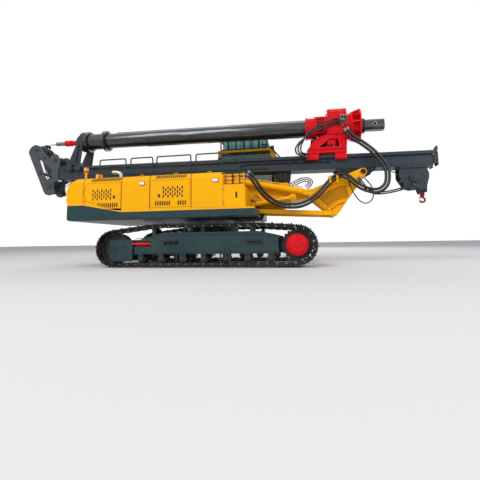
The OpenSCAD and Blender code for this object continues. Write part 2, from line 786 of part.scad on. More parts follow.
pad_x = [mast_origin[0] + saddle_x[0] + 110, mast_origin[0] + saddle_x[1] - 70];
pad_top = from_mast([saddle_x[1] - 60, saddle_low])[1] - 5;
module boom() {
  a = boom_foot;
  b = boom_head;
  color("#ffb400") difference() {
    union() {
      plate(-boom_half, boom_half) {
        translate(a) circle(120);
        translate(b) circle(85);
        polygon([
          a + [-60, -104], a + [-85, 85], a + [60, 160], a + [530, 200], b + [-160, 110], b + [20, 82],
          b + [30, -79], b + [-700, -215], a + [180, -170]
        ]);
      }
      bar_y(a, pin_r, -girder_y[1] - 20, girder_y[1] + 20);
      bar_y(b, pin_r, -side_y[1], side_y[1]);
      bar_y(lift_head, 70, -girder_y[1] + 5, girder_y[1] - 5);
      block([pad_x[0], -saddle_half, b[1] + 60], [pad_x[1], saddle_half, pad_top]);
    }
    plate(-boom_half + 60, boom_half - 60) polygon([
      a + [300, -110], a + [300, 120], a + [560, 140], b + [-300, 60], b + [-300, -60], b + [-720, -150]
    ]);
  }
}

module links() {
  color("#ffb400") both_sides() difference() {
    plate(side_y[0], side_y[1]) {
      link2d(link_foot, link_head, 45, 45);
      translate(link_foot) circle(60);
      translate(link_head) circle(60);
    }
    for (p = [link_foot, link_head]) {
      bar_y(p, pin_r - 8 + pin_play, side_y[0] - 1, side_y[1] + 1);
    }
  }
}

// A cylinder's barrel from its foot pin towards the far pin
module barrel_at(foot, head, y, r, eye_r, eye_t, bore_r, start, len) {
  d = head - foot;
  translate([foot[0], y, foot[1]]) rotate([0, -atan2(d[1], d[0]), 0]) difference() {
    union() {
      bar_x([0, 0], r, start, len);
      bar_y([0, 0], eye_r, -eye_t / 2, eye_t / 2);
      block([0, -eye_t / 2, -r + 12], [start + 10, eye_t / 2, r - 12]);
    }
    bar_x([0, 0], r - 14, start + 20, len - 40);
    bar_x([0, 0], rod_r + seat, len - 41, len + 1);
    bar_y([0, 0], bore_r, -eye_t, eye_t);
  }
}

piston_t = 30;
module rod_at(foot, head, y, eye_r, eye_t, bore_r, barrel_r, tail) {
  d = head - foot;
  l = norm(d);
  translate([foot[0], y, foot[1]]) rotate([0, -atan2(d[1], d[0]), 0]) difference() {
    union() {
      bar_x([0, 0], rod_r, tail, l - eye_r + 12);
      bar_x([0, 0], barrel_r - 14 - seat, tail, tail + piston_t);
      bar_y([l, 0], eye_r, -eye_t / 2, eye_t / 2);
    }
    bar_y([l, 0], bore_r, -eye_t, eye_t);
  }
}

lift_len = norm(lift_head - lift_foot);
module lift_barrels() {
  color("#ffb400") both_sides()
    barrel_at(lift_foot, lift_head, lift_y, lift_barrel_r, 66, 55, pin_r - 8 + pin_play, 80, lift_len - 170);
}

module lift_rods() {
  color("#c8ccd0") both_sides()
    rod_at(lift_foot, lift_head, lift_y, 78, 55, 44, lift_barrel_r, 150);
}

fold_len = norm(fold_eye - fold_foot);
module fold_barrels() {
  color("#ffb400") both_sides()
    barrel_at(fold_foot, fold_eye, lift_y, fold_barrel_r, 88, 55, pin_r + pin_play, 180, fold_len - 200);
}

module fold_rods() {
  color("#c8ccd0") both_sides()
    rod_at(fold_foot, fold_eye, lift_y, 66, 55, 44, fold_barrel_r, 212);
}

module triangle_frame() {
  color("#ffb400") {
    both_sides() difference() {
      plate(tri_y[0], tri_y[1]) {
        link2d(boom_head, link_head, 75, 60);
        link2d(link_head, mast_pivot, 60, 80);
        link2d(boom_head, mast_pivot, 75, 80);
        polygon([boom_head, link_head, mast_pivot]);
      }
      for (p = [boom_head, mast_pivot]) {
        bar_y(p, pin_r + pin_play, tri_y[0] - 1, tri_y[1] + 1);
      }
    }
    both_sides() bar_y(link_head, pin_r - 8, tri_y[1] - 1, side_y[1] + 12);
    block([2700, -460 + hose_r + seat, 1740], [2900, -tri_y[0] - 10, 1890]);
    bar_y(link_head, 55, -tri_y[0] - 1, tri_y[0] + 1);
  }
}

module mast_beam() {
  color("#343b43") on_mast() difference() {
    block([-mast_back, -mast_half, mast_low], [mast_front - 90, mast_half, mast_high]);
    block([-mast_back + 30, -mast_half + mast_wall, mast_low + mast_wall], [mast_front - 120, mast_half - mast_wall, mast_high - mast_wall]);
    block(
      [-mast_back - 1, -60, mast_low - 1],
      [rear_sheave_at[0] + rear_sheave_r + 20, 60, rear_sheave_at[1] + rear_sheave_r + 15]
    );
  }
}

module guide_rails() {
  color("#2b3138") on_mast() both_sides() {
    block([-mast_back + 190, mast_half, rail_low], [mast_front - 30, rail_out, rail_high]);
    block([mast_front - 90, mast_half - 30, mast_low + 40], [mast_front, mast_half + 20, mast_high - 40]);
  }
}

// Ears under the mast for the cylinders' rods, its pivot plates and the saddle that lies over the boom
module mast_bracket() {
  color("#1f2327") on_mast() {
    both_sides() {
      plate(boom_half - 50, boom_half) polygon([
        [-810, mast_low], [-705, 5], [-420, -30], pivot_at + [-80, -82], pivot_at + [60, -82], [-100, -38], [30, 30],
        [60, mast_low]
      ]);
      plate(ear_y[0], ear_y[1]) polygon([
        fold_head + [-150, 90], fold_head + [-75, -25], fold_head + [-40, -50], fold_head + [40, -50],
        fold_head + [75, -25], fold_head + [150, 90]
      ]);
      plate(saddle_half - 30, saddle_half) polygon([
        [saddle_x[0], mast_low], [saddle_x[0] + 80, saddle_low + 150], [saddle_x[0] + 170, saddle_low],
        [saddle_x[1] - 60, saddle_low], [saddle_x[1] - 20, saddle_low + 60], [saddle_x[1], mast_low]
      ]);
    }
    block([fold_head[0] - 150, -ear_y[1], mast_low - 40], [fold_head[0] + 150, ear_y[1], mast_low]);
    bar_y(fold_head, 40, -ear_y[1], ear_y[1]);
    block([saddle_x[0] + 170, -saddle_half, saddle_low + 40], [saddle_x[1] - 60, saddle_half, saddle_low + 70]);
    bar_y(pivot_at, pin_r, -tri_y[1] - 6, tri_y[1] + 6);
  }
}

// Head: two side plates that clasp the mast's end
front_sheave_at = [-8440, 930];
rear_sheave_at = [-8000, -60];
rope_sheave_at = [-7870, 625];
lashing_at = [-8180, 690];
head_y = [mast_half, mast_half + 25];
module mast_head() {
  outline = [
    [-8674, 840], [-8650, 940], [-8580, 1020], [-8473, 1062], [-8370, 1030], [-8283, 940], [-8050, 650], [-7985, 755],
    [-7900, 790], [-7810, 765], [-7755, 670], [-7730, 560], [-mast_back + 60, mast_high + 30],
    [-mast_back + 60, mast_low], [-7885, 40], [-7880, -120], [-7835, -230], [-7870, -280], [-8017, -309], [-8110, -275],
    [-8165, -200], [-8197, -133]
  ];
  opening = [[-8360, 690], [-8328, 682], [-7962, 372], [-7946, 160], [-8085, 92], [-8180, 240]];
  color("#5d6266") on_mast() {
    both_sides() difference() {
      plate(head_y[0], head_y[1]) polygon(outline);
      plate(head_y[0] - 1, head_y[1] + 1) polygon(opening);
      bar_y(lashing_at, 22, head_y[0] - 1, head_y[1] + 1);
    }
    for (p = [front_sheave_at, rear_sheave_at, rope_sheave_at]) {
      bar_y(p, 36, -head_y[0] - 1, head_y[0] + 1);
    }
    bar_y([-8290, 290], 40, -head_y[0] - 1, head_y[0] + 1);
  }
}

module sheave(at, r, y) {
  color("#2e3236") on_mast() difference() {
    union() {
      bar_y(at, r, y - 30, y - 18);
      bar_y(at, r - 28, y - 19, y + 19);
      bar_y(at, r, y + 18, y + 30);
      bar_y(at, 70, y - 45, y + 45);
    }
    bar_y(at, 36 + pin_play, y - 50, y + 50);
  }
}

module head_sheave() {
  sheave(front_sheave_at, front_sheave_r, 0);
}

module rear_sheaves() {
  sheave(rear_sheave_at, rear_sheave_r, 0);
}

module rope_sheave() {
  sheave(rope_sheave_at, 105, 0);
}

winch_at = [850, -140];
winch_y = [145, 170];
hook_at = [1035, -425];
module winch_frame() {
  color("#2d3338") on_mast() {
    both_sides() difference() {
      plate(winch_y[0], winch_y[1]) polygon([
        [554, mast_low], [554, -128], [595, -192], [690, -350], [814, -386], [960, -370], [995, -470], [1075, -470],
        [1095, -300], [1135, -164], [1144, -56], [1110, 38], [1110, mast_low]
      ]);
      bar_y(winch_at, 50 + pin_play, 0, 300);
    }
    bar_y(hook_at, 22, -winch_y[0] - 1, winch_y[0] + 1);
    block([560, -winch_y[0] - 1, mast_low - 25], [640, winch_y[0] + 1, mast_low]);
  }
}

module winch_drum() {
  color("#3a3f43") on_mast() {
    bar_y(winch_at, drum_r, -110, 110);
    both_sides() {
      bar_y(winch_at, winch_flange_r, 100, 125);
      bar_y(winch_at, 50, 120, winch_y[1] + 20);
      bar_y(winch_at, 105, winch_y[1] + 5, winch_y[1] + 40);
    }
  }
}

module hook() {
  p = hook_at;
  color("#b01a1c") on_mast() {
    difference() {
      plate(-28, 28) link2d(p, p + [0, -85], 44, 40);
      bar_y(p, 22 + pin_play, -60, 60);
    }
    bar_y(p + [0, -105], 34, -22, 22);
    difference() {
      bar_y(p + [0, -192], 66, -20, 20);
      bar_y(p + [0, -188], 34, -40, 40);
      block([p[0] - 80, -40, p[1] - 200], [p[0] - 20, 40, p[1] - 120]);
    }
  }
}

collar_x = [-7245, -7060, -6565];
guide_ring = [-7190, -7070];
kelly_left = -7300;
guide_x = [-7480, -7080];
cheek_y = kelly_r + 34;
// Shoes that reach round the guide rails
module rail_shoes(x0, x1) {
  both_sides() {
    block([x0, mast_half - 40, rail_high + seat], [x1, rail_out + guide_gap + shoe_t, rail_high + shoe_t]);
    block([x0, rail_out + guide_gap, rail_low - guide_gap - shoe_t], [x1, rail_out + guide_gap + shoe_t, rail_high + 1]);
    block([x0, mast_half + guide_gap + 1, rail_low - guide_gap - shoe_t], [x1, rail_out + guide_gap + 1, rail_low - guide_gap]);
  }
}

module kelly_guide() {
  z0 = rail_high;
  color("#2b3138") on_mast() {
    rail_shoes(guide_x[0], guide_x[0] + 150);
    rail_shoes(guide_x[1] - 150, guide_x[1]);
    both_sides() {
      block([guide_x[0], mast_half - 40, z0 + shoe_t - 1], [guide_x[1], rail_out + 40, z0 + 80]);
      plate(cheek_y, cheek_y + 40) polygon([
        [guide_x[0] + 20, z0 + 70], [guide_x[1] - 50, z0 + 70], [guide_ring[1], kelly_z - 120], [guide_ring[1], kelly_z + 60],
        [guide_ring[0], kelly_z + 60], [guide_ring[0] - 60, kelly_z - 120]
      ]);
    }
    block([guide_x[0], -mast_half + 39, z0 + 20], [guide_x[0] + 70, mast_half - 39, z0 + 80]);
    difference() {
      bar_x([0, kelly_z], 262, guide_ring[0], guide_ring[1]);
      bar_x([0, kelly_z], kelly_r + seat, guide_ring[0] - 1, guide_ring[1] + 1);
    }
  }
}

kelly_x0 = -6530;
kelly_x1 = kelly_x0 + kelly_len;
mid_r = kelly_r - kelly_wall - kelly_play;
core_r = mid_r - kelly_wall - kelly_play;
module kelly_outer() {
  color("#45484c") on_mast() difference() {
    union() {
      bar_x([0, kelly_z], kelly_r, kelly_left, kelly_x1);
      bar_x([0, kelly_z], 216, collar_x[0], collar_x[0] + 45);
      for (x = [collar_x[1], collar_x[2]]) {
        bar_x([0, kelly_z], 268, x, x + 60);
      }
      for (a = [90, 210, 330]) {
        translate([0, 0, kelly_z]) rotate([a - 90, 0, 0])
          block([collar_x[2] + 300, -30, kelly_r - 8], [kelly_x1 - 40, 30, kelly_r + key_h]);
      }
    }
    bar_x([0, kelly_z], kelly_r - kelly_wall, kelly_left - 10, kelly_x1 + 10);
  }
}

module kelly_middle() {
  color("#3c3f43") on_mast() difference() {
    union() {
      bar_x([0, kelly_z], mid_r, kelly_left - 20, kelly_x1 + 4);
      bar_x([0, kelly_z], mid_r + kelly_play - seat, kelly_left + 40, kelly_left + 200);
    }
    bar_x([0, kelly_z], mid_r - kelly_wall, kelly_left - 30, kelly_x1 + 10);
  }
}

stub_x = [kelly_x1 + 90, mast_front - 1010];
stub_hole_x = stub_x[1] - 205;
module kelly_core() {
  c = stub_w * 0.2;
  h = stub_w / 2;
  color("#3c3f43") on_mast() difference() {
    union() {
      bar_x([0, kelly_z], core_r, kelly_left - 60, stub_x[0] + 10);
      bar_x([0, kelly_z], core_r + kelly_play - seat, kelly_left + 40, kelly_left + 200);
      for (i = [0:3]) {
        bar_x([0, kelly_z], 172, kelly_x1 + 12 + i * 20, kelly_x1 + 24 + i * 20);
      }
      bar_x([0, kelly_z], 150, kelly_x1 + 12, stub_x[0] + 1);
      translate([stub_x[0], 0, kelly_z]) rotate([90, 0, 90]) linear_extrude(stub_x[1] - stub_x[0]) polygon([
        [-h, -h + c], [-h, h - c], [-h + c, h], [h - c, h], [h, h - c], [h, -h + c], [h - c, -h], [-h + c, -h]
      ]);
    }
    bar_y([stub_hole_x, kelly_z], stub_hole_r, -200, 200);
  }
}

module swivel() {
  x1 = kelly_left - 60;
  color("#d01a1e") on_mast() {
    bar_x([0, kelly_z], 66, x1 - 200, x1);
    bar_x([0, kelly_z], 76, x1 - 330, x1 - 199);
    bar_x([0, kelly_z], 44, x1 - 540, x1 - 329);
  }
}

sledge_x = [-1410, -550];
box_x = [-960, -540];
eye_x = box_x[0] + 50;
port_y = -435;
module sledge() {
  z0 = rail_high;
  color("#c4101c") on_mast() {
    rail_shoes(sledge_x[0], sledge_x[0] + 250);
    rail_shoes(sledge_x[1] - 250, sledge_x[1]);
    both_sides() {
      block([sledge_x[0], mast_half - 40, z0 + shoe_t - 1], [sledge_x[1], rail_out + 60, z0 + 110]);
      difference() {
        plate(rail_out + 5, rail_out + 45) polygon([
          [sledge_x[0], z0 + 100], [sledge_x[1], z0 + 100], [sledge_x[1] + 30, kelly_z - 250],
          [box_x[0], kelly_z - 250], [-1276, z0 + 300]
        ]);
        plate(rail_out, rail_out + 50) polygon([
          [sledge_x[0] + 250, z0 + 170], [sledge_x[1] - 130, z0 + 170], [sledge_x[1] - 190, kelly_z - 340], [box_x[0] + 60, kelly_z - 340]
        ]);
      }
    }
    block([sledge_x[0] + 40, -mast_half + 39, z0 + 40], [sledge_x[0] + 240, mast_half - 39, z0 + 110]);
    block([sledge_x[1] - 240, -mast_half + 39, z0 + 40], [sledge_x[1] - 40, mast_half - 39, z0 + 110]);
  }
}

module gearbox() {
  color("#e8001c") on_mast() difference() {
    union() {
      translate([box_x[0], 0, kelly_z]) rotate([90, 0, 90]) linear_extrude(box_x[1] - box_x[0]) polygon([
        [-330, -250], [-400, -120], [-400, 230], [-330, 318], [330, 318], [400, 230], [400, -120], [330, -250]
      ]);
      block([box_x[0], -250, kelly_z - 460], [box_x[0] + 180, 250, kelly_z - 200]);
      block([eye_x - 50, -60, kelly_z + 300], [eye_x + 50, 60, kelly_z + 400]);
      block([box_x[1] - 150, port_y - 35, kelly_z - 90], [box_x[1] - 10, -399, kelly_z + 110]);
    }
    bar_x([0, kelly_z], sleeve_r + seat, box_x[0] - 1, box_x[1] + 1);
    bar_y([eye_x, kelly_z + 365], eye_r, -70, 70);
  }
}

motor_y = 140;
motor_z = kelly_z - 365;
module drive_motors() {
  color("#202326") on_mast() both_sides() {
    bar_x([motor_y, motor_z], 80, box_x[0] - 300, box_x[0]);
    bar_x([motor_y, motor_z], 58, box_x[0] - 360, box_x[0] - 299);
  }
}

module drive_sleeve() {
  color("#d80c1a") on_mast() difference() {
    union() {
      bar_x([0, kelly_z], sleeve_r, -1430, -230);
      bar_x([0, kelly_z], sleeve_r + 18, -1430, -1390);
      bar_x([0, kelly_z], sleeve_r + 30, -1225, -1190);
      bar_x([0, kelly_z], sleeve_r + 30, -1000, -966);
      bar_x([0, kelly_z], 300, -534, -440);
      bar_x([0, kelly_z], 335, -441, -405);
      bar_x([0, kelly_z], flange_r, -260, -225);
      for (i = [0:flange_bolts - 1]) {
        translate([0, 0, kelly_z]) rotate([i * 360 / flange_bolts, 0, 0]) translate([0, 8, 0]) rotate([90, 0, 0])
          linear_extrude(16) polygon([[-406, 230], [-406, 330], [-259, 385], [-259, 230]]);
      }
    }
    bar_x([0, kelly_z], drive_bore_r, -1440, -200);
    for (i = [0:flange_bolts - 1]) {
      a = (i + 0.5) * 360 / flange_bolts;
      bar_x([flange_pcr * cos(a), kelly_z + flange_pcr * sin(a)], 13, -270, -220);
    }
  }
}

// Hoses: a tube swept along a smooth line through the route's points
function spline_at(p, i, t) =
  let (n = len(p) - 1, a = p[max(i - 1, 0)], b = p[i], c = p[min(i + 1, n)], d = p[min(i + 2, n)])
  0.5 * ((2 * b) + (c - a) * t + (2 * a - 5 * b + 4 * c - d) * t * t + (3 * b - a - 3 * c + d) * t * t * t);
function smooth_line(p, n) = concat([for (i = [0:len(p) - 2], k = [0:n - 1]) spline_at(p, i, k / n)], [p[len(p) - 1]]);

module hose(route, r, per_span) {
  line = smooth_line(route, per_span);
  n = len(line);
  sides = 8;
  rings = [for (i = [0:n - 1])
    let (t = unit(line[min(i + 1, n - 1)] - line[max(i - 1, 0)]), u = unit(cross(t, [0, 1, 0])), v = cross(t, u))
    for (k = [0:sides - 1]) line[i] + r * (cos(k * 360 / sides) * u + sin(k * 360 / sides) * v)];
  walls = [for (i = [0:n - 2], k = [0:sides - 1])
    let (a = i * sides + k, b = i * sides + (k + 1) % sides) [a, b, b + sides, a + sides]];
  polyhedron(rings, concat([[for (k = [sides - 1:-1:0]) k]], walls, [[for (k = [0:sides - 1]) (n - 1) * sides + k]]));
}

port_at = from_mast([box_x[1] - 10, kelly_z - 40]);
body_route = [
  [valve_x1 - 20 + seat, pipe_y, pipe_z], [valve_x1 + 10, pipe_y, pipe_z], [valve_x1 + 40, pipe_y, pipe_z],
  [1130, pipe_y + 20, 1850], [1240, -1000, 1700], [1360, -820, 1460], [1530, -640, 1290], [1750, -560, 1215],
  [2050, -500, 1220], [2350, -470, 1330], [2590, -462, 1530], [2730, -460, 1740],
  [2760, -460, 1840], [2760, -460, 1870], [2760, -460, 1900]
];
mast_route = [
  [2760, -460, 1902], [2760, -460, 1931], [2760, -460, 1960], [2790, -460, 2050], [2880, -460, 2100], [2990, -460, 2080],
  [3140, -460, 1990], [3380, -465, 1870], [3620, -470, 1840],
  [3800, -470, 1930], [3870, -470, 2180], [3810, -470, 2480], [3650, -460, 2740], [3450, -450, 2940],
  [3270, -440, 3040],
  for (d = [60, 30, 1]) [port_at[0] + d * cos(mast_tilt), port_y, port_at[1] - d * sin(mast_tilt)]
];

// The same route, d further out in the side view
function beside(p, d) = [for (i = [0:len(p) - 1])
  let (t = p[min(i + 1, len(p) - 1)] - p[max(i - 1, 0)], n = unit([t[2], 0, -t[0]])) p[i] + d * n];

module body_hoses() {
  color("#0e0f10") for (s = [0, 1]) {
    hose(beside(body_route, s * hose_step), hose_r, 3);
  }
}

module mast_hoses() {
  color("#0e0f10") for (s = [0, 1]) {
    hose(beside(mast_route, s * hose_step), hose_r, 3);
  }
}

car_body();
slew_ring();
track_frames();
track(-1);  // track_right
track(1);  // track_left
rollers();
idlers();
idler_yokes();
tension_rods();
sprockets();
drive_covers();
upper_frame();
counterweight();
engine_hood();
engine();
side_tank();
valve_box();
hood_door_rear();
hood_door_front();
cab_shell();
cab_door();
cab_glass();
cab_seat();
roof_guard();
handrails();
beacon();
exhaust();
hard_pipes();
mast_rest();
boom();
links();
lift_barrels();
lift_rods();
triangle_frame();
fold_barrels();
fold_rods();
mast_beam();
guide_rails();
mast_bracket();
mast_head();
head_sheave();
rear_sheaves();
rope_sheave();
winch_frame();
winch_drum();
hook();
kelly_guide();
kelly_outer();
kelly_middle();
kelly_core();
swivel();
sledge();
gearbox();
drive_motors();
drive_sleeve();
body_hoses();
mast_hoses();
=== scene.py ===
"""Looks of the rotary piling rig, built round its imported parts. Metres, +X to the mast's foot, +Z up."""

import bmesh
import bpy
import json
import math
import random
from mathutils import Matrix, Vector


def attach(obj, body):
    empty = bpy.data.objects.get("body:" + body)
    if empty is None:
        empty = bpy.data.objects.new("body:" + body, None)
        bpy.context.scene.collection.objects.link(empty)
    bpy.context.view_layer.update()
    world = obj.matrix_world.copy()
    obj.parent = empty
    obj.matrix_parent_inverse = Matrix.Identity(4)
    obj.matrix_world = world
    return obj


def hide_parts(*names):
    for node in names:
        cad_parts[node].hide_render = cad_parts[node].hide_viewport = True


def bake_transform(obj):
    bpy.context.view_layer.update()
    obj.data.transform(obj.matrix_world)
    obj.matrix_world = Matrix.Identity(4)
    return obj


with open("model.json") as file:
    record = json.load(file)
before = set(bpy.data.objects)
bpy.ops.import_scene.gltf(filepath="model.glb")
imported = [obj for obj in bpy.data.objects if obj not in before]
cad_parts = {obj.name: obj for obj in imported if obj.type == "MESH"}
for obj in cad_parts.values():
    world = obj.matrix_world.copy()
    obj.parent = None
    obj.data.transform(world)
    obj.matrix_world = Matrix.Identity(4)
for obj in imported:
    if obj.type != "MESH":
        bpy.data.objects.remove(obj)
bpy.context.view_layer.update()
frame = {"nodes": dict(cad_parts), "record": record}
rng = random.Random(7)

# Places in the side view, x and z
BOOM_FOOT = Vector((0.620, 1.640))
BOOM_HEAD = Vector((2.310, 1.550))
LINK_FOOT = Vector((1.120, 1.180))
LINK_HEAD = Vector((2.810, 1.090))
LIFT_FOOT = Vector((1.020, 1.330))
LIFT_HEAD = Vector((1.915, 1.465))
MAST_PIVOT = Vector((3.440, 1.980))
MAST_TILT = math.radians(0.7)
MAST = Matrix.Translation((3.670, 0, 1.980)) @ Matrix.Rotation(MAST_TILT, 4, "Y")
IDLER = Vector((-1.860, 0.400))
SPROCKET = Vector((1.991, 0.433))

# Places on the mast, along it and square to it
FOLD_EYE = (-3.700, 0.010)
PIVOT_EYE = (-0.2300, -0.0028)
HEAD_SHEAVE = (-8.440, 0.930)
REAR_SHEAVES = (-8.000, -0.060)
ROPE_SHEAVE = (-7.870, 0.625)
WINCH = (0.850, -0.140)
HOOK = (1.035, -0.425)
KELLY_Z = 1.120

# Heights, and distances from the middle plane
HOOD_TOP = 1.940
TRACK_Y = 1.0
CAB_RIGHT = 0.4695
CAB_LEFT = 1.250
CYLINDER_Y = 0.3675
LIFT_EYE_Y = 0.395
LINK_CAP_Y = 0.407
TRIANGLE_Y = 0.330

# Radii of the rope and the hoses
ROPE_R = 0.011
PRESSURE_HOSE_R = 0.030
LOOP_HOSE_R = 0.017
WINCH_HOSE_R = 0.015
THIN_HOSE_R = 0.012


# The photograph's viewpoint: its place, its yaw, pitch and roll in degrees, and its lens in pixels
CAMERA_AT = (2.024, -7.718, 0.523)
CAMERA_TURN = (10.0, 6.0, -0.85)
PHOTO_SIZE = 480.0
FOCAL_PIXELS = 330.0
CENTRE_ROW = 206.2
SENSOR = 36.0


def camera():
    """A camera low down before the machine, with its lens shifted upward."""
    yaw, pitch, roll = (math.radians(a) for a in CAMERA_TURN)
    away = Vector((-math.sin(yaw) * math.cos(pitch), math.cos(yaw) * math.cos(pitch), math.sin(pitch)))
    side = Vector((math.cos(yaw), math.sin(yaw), 0))
    up = side.cross(away)
    right = math.cos(roll) * side + math.sin(roll) * up
    top = -math.sin(roll) * side + math.cos(roll) * up
    data = bpy.data.cameras.new("camera")
    data.sensor_width = SENSOR
    data.lens = FOCAL_PIXELS / PHOTO_SIZE * SENSOR
    data.shift_y = (CENTRE_ROW - PHOTO_SIZE / 2) / PHOTO_SIZE
    data.clip_end = 200
    cam = bpy.data.objects.new("camera", data)
    rows = [(right[i], top[i], -away[i], CAMERA_AT[i]) for i in range(3)]
    cam.matrix_world = Matrix((*rows, (0, 0, 0, 1)))
    bpy.context.scene.collection.objects.link(cam)
    bpy.context.scene.camera = cam


# Materials

class Sum:
    """A shader value or colour that Python's operators work on."""

    def __init__(self, paint, socket):
        self.paint = paint
        self.socket = socket

    def _math(self, operation, first, second):
        return self.paint.node("ShaderNodeMath", {"operation": operation}, {0: first, 1: second})

    def __add__(self, other):
        return self._math("ADD", self, other)

    def __radd__(self, other):
        return self._math("ADD", other, self)

    def __sub__(self, other):
        return self._math("SUBTRACT", self, other)

    def __rsub__(self, other):
        return self._math("SUBTRACT", other, self)

    def __mul__(self, other):
        return self._math("MULTIPLY", self, other)

    def __rmul__(self, other):
        return self._math("MULTIPLY", other, self)

    def __truediv__(self, other):
        return self._math("DIVIDE", self, other)

    def __pow__(self, other):
        return self._math("POWER", self, other)

    def below(self, other):
        """1 where this is less than other."""
        return self._math("LESS_THAN", self, other)

    def above(self, other):
        """1 where this is more than other."""
        return self._math("GREATER_THAN", self, other)

    def steps(self, low, high):
        """0 under low, 1 over high, smooth between."""
        return self.paint.node("ShaderNodeMapRange", {"interpolation_type": "SMOOTHSTEP"},
                               {"Value": self, "From Min": low, "From Max": high}, "Result")


class Paint:
    """One material and the nodes that make it."""

    def __init__(self, name):
        self.material = bpy.data.materials.new(name)
        self.material.use_nodes = True
        self.tree = self.material.node_tree
        self.tree.nodes.clear()
        self.place = self.node("ShaderNodeTexCoord", {}, {}, "Object")

    def node(self, kind, settings, sockets, out=0):
        """Adds a node: its settings first, then the values or links of its sockets."""
        n = self.tree.nodes.new(kind)
        for key, value in settings.items():
            if key == "stops":
                ramp = n.color_ramp.elements
                while len(ramp) < len(value):
                    ramp.new(0.5)
                for stop, (at, colour) in zip(ramp, value):
                    stop.position = at
                    stop.color = (*colour, 1.0)
            else:
                setattr(n, key, value)
        for key, value in sockets.items():
            if isinstance(value, Sum):
                self.tree.links.new(value.socket, n.inputs[key])
            elif hasattr(n.inputs[key].default_value, "__len__") and len(n.inputs[key].default_value) == 4:
                n.inputs[key].default_value = (*value[:3], 1.0)
            else:
                n.inputs[key].default_value = value
        return Sum(self, n.outputs[out]) if n.outputs else n

    def stretched(self, x=1.0, y=1.0, z=1.0):
        """The place on the object, drawn out for marks with a direction."""
        return self.node("ShaderNodeMapping", {}, {"Vector": self.place, "Scale": (x, y, z)})

    def noise(self, scale, detail=4.0, rough=0.55, at=None):
        """Cloudy values from 0 to 1; the scale counts clouds per metre."""
        return self.node("ShaderNodeTexNoise", {}, {
            "Vector": at or self.place, "Scale": scale, "Detail": detail, "Roughness": rough}, "Fac")

    def cells(self, scale):
        """Small cells, as in grained plastic."""
        return self.node("ShaderNodeTexVoronoi", {}, {"Vector": self.place, "Scale": scale}, "Distance")

    def part(self, axis):
        """One coordinate of the place on the object."""
        return self.node("ShaderNodeSeparateXYZ", {}, {"Vector": self.place}, axis)

    def facing(self, axis):
        """How far the surface faces along an axis, from -1 to 1."""
        normal = self.node("ShaderNodeNewGeometry", {}, {}, "Normal")
        return self.node("ShaderNodeSeparateXYZ", {}, {"Vector": normal}, axis)

    def mix(self, share, first, second):
        """The first colour, or the second where the share is 1."""
        return self.node("ShaderNodeMix", {"data_type": "RGBA"}, {0: share, 6: first, 7: second}, 2)

    def bump(self, height, depth, strength=1.0):
        """A normal from a height; the depth is in metres."""
        return self.node("ShaderNodeBump", {}, {"Height": height, "Distance": depth, "Strength": strength})

    def finish(self, colour, roughness, normal=None, metallic=0.0, **fixed):
        """The material; fixed names more of the shader's sockets, with _ for a space."""
        values = {"Base Color": colour, "Roughness": roughness, "Metallic": metallic}
        if normal is not None:
            values["Normal"] = normal
        for key, value in fixed.items():
            values[key.replace("_", " ")] = value
        shader = self.node("ShaderNodeBsdfPrincipled", {}, values)
        self.node("ShaderNodeOutputMaterial", {}, {"Surface": shader})
        return self.material


def painted(name, colour, rough=0.32, dust=0.25, chips=(0.05, 0.045, 0.04), wear=0.5, shine=0.16, over=None):
    """Sprayed enamel: slight orange peel, thin dust where it settles, small scuffs down to the primer.

    over is a pair, a mask and the second colour that it lets in.
    """
    p = Paint(name)
    cloud = p.noise(1.3, 3)
    fine = p.noise(38.0, 5, 0.7)
    runs = p.noise(3.0, 4, 0.6, at=p.stretched(6.0, 6.0, 0.7))
    low = 1 - p.part("Z").steps(0.1, 1.7)
    upward = p.facing("Z").steps(0.5, 0.95)
    film = (runs.steps(0.48, 0.78) * 0.45 + low * 0.55 + upward * 0.5) * cloud.steps(0.3, 0.7) * dust
    shade = p.mix(cloud.steps(0.25, 0.8) * 0.22, colour, tuple(c * 0.72 for c in colour))
    if over:
        second = p.mix(cloud.steps(0.25, 0.8) * 0.22, over[1], tuple(c * 0.72 for c in over[1]))
        shade = p.mix(over[0](p), shade, second)
    dusty = p.mix(film, shade, (0.30, 0.26, 0.20))
    chip = fine.above(0.735) * p.noise(5.0, 3).steps(0.56, 0.62) * wear
    worn = p.mix(chip, dusty, chips)
    skin = p.bump(p.noise(260.0, 2), 0.0004, 0.25)
    return p.finish(worn, film * 0.45 + cloud * 0.10 + (rough - 0.05) + chip * 0.25, skin, 0.0,
                    Coat_Weight=0.06, Coat_Roughness=0.12, Specular_IOR_Level=shine)


def bare_metal(name, colour, rough=0.3, across=(1.0, 30.0, 30.0), soil=(0.03, 0.025, 0.02),
               soiled=0.4, metallic=1.0):
    """Turned or drawn metal: fine lines along the tool's path, grease and soil in patches."""
    p = Paint(name)
    lines = p.noise(24.0, 3, 0.6, at=p.stretched(*across))
    patch = p.noise(2.2, 5, 0.6)
    grease = patch.steps(0.5, 0.68) * soiled
    tone = p.mix(lines.steps(0.3, 0.7) * 0.35, colour, tuple(c * 0.6 for c in colour))
    return p.finish(p.mix(grease, tone, soil), lines * 0.16 + grease * 0.3 + (rough - 0.08),
                    p.bump(lines, 0.0005, 0.3), metallic)


def rubber(name, colour, rough=0.42):
    """Hose and seal rubber with a faint cloth wrap and chalky marks."""
    p = Paint(name)
    weave = p.noise(420.0, 2)
    marks = p.noise(9.0, 5, 0.65).steps(0.55, 0.75)
    return p.finish(p.mix(marks * 0.35, colour, (0.055, 0.05, 0.045)),
                    marks * 0.2 + weave * 0.1 + rough - 0.05, p.bump(weave, 0.0006, 0.4))


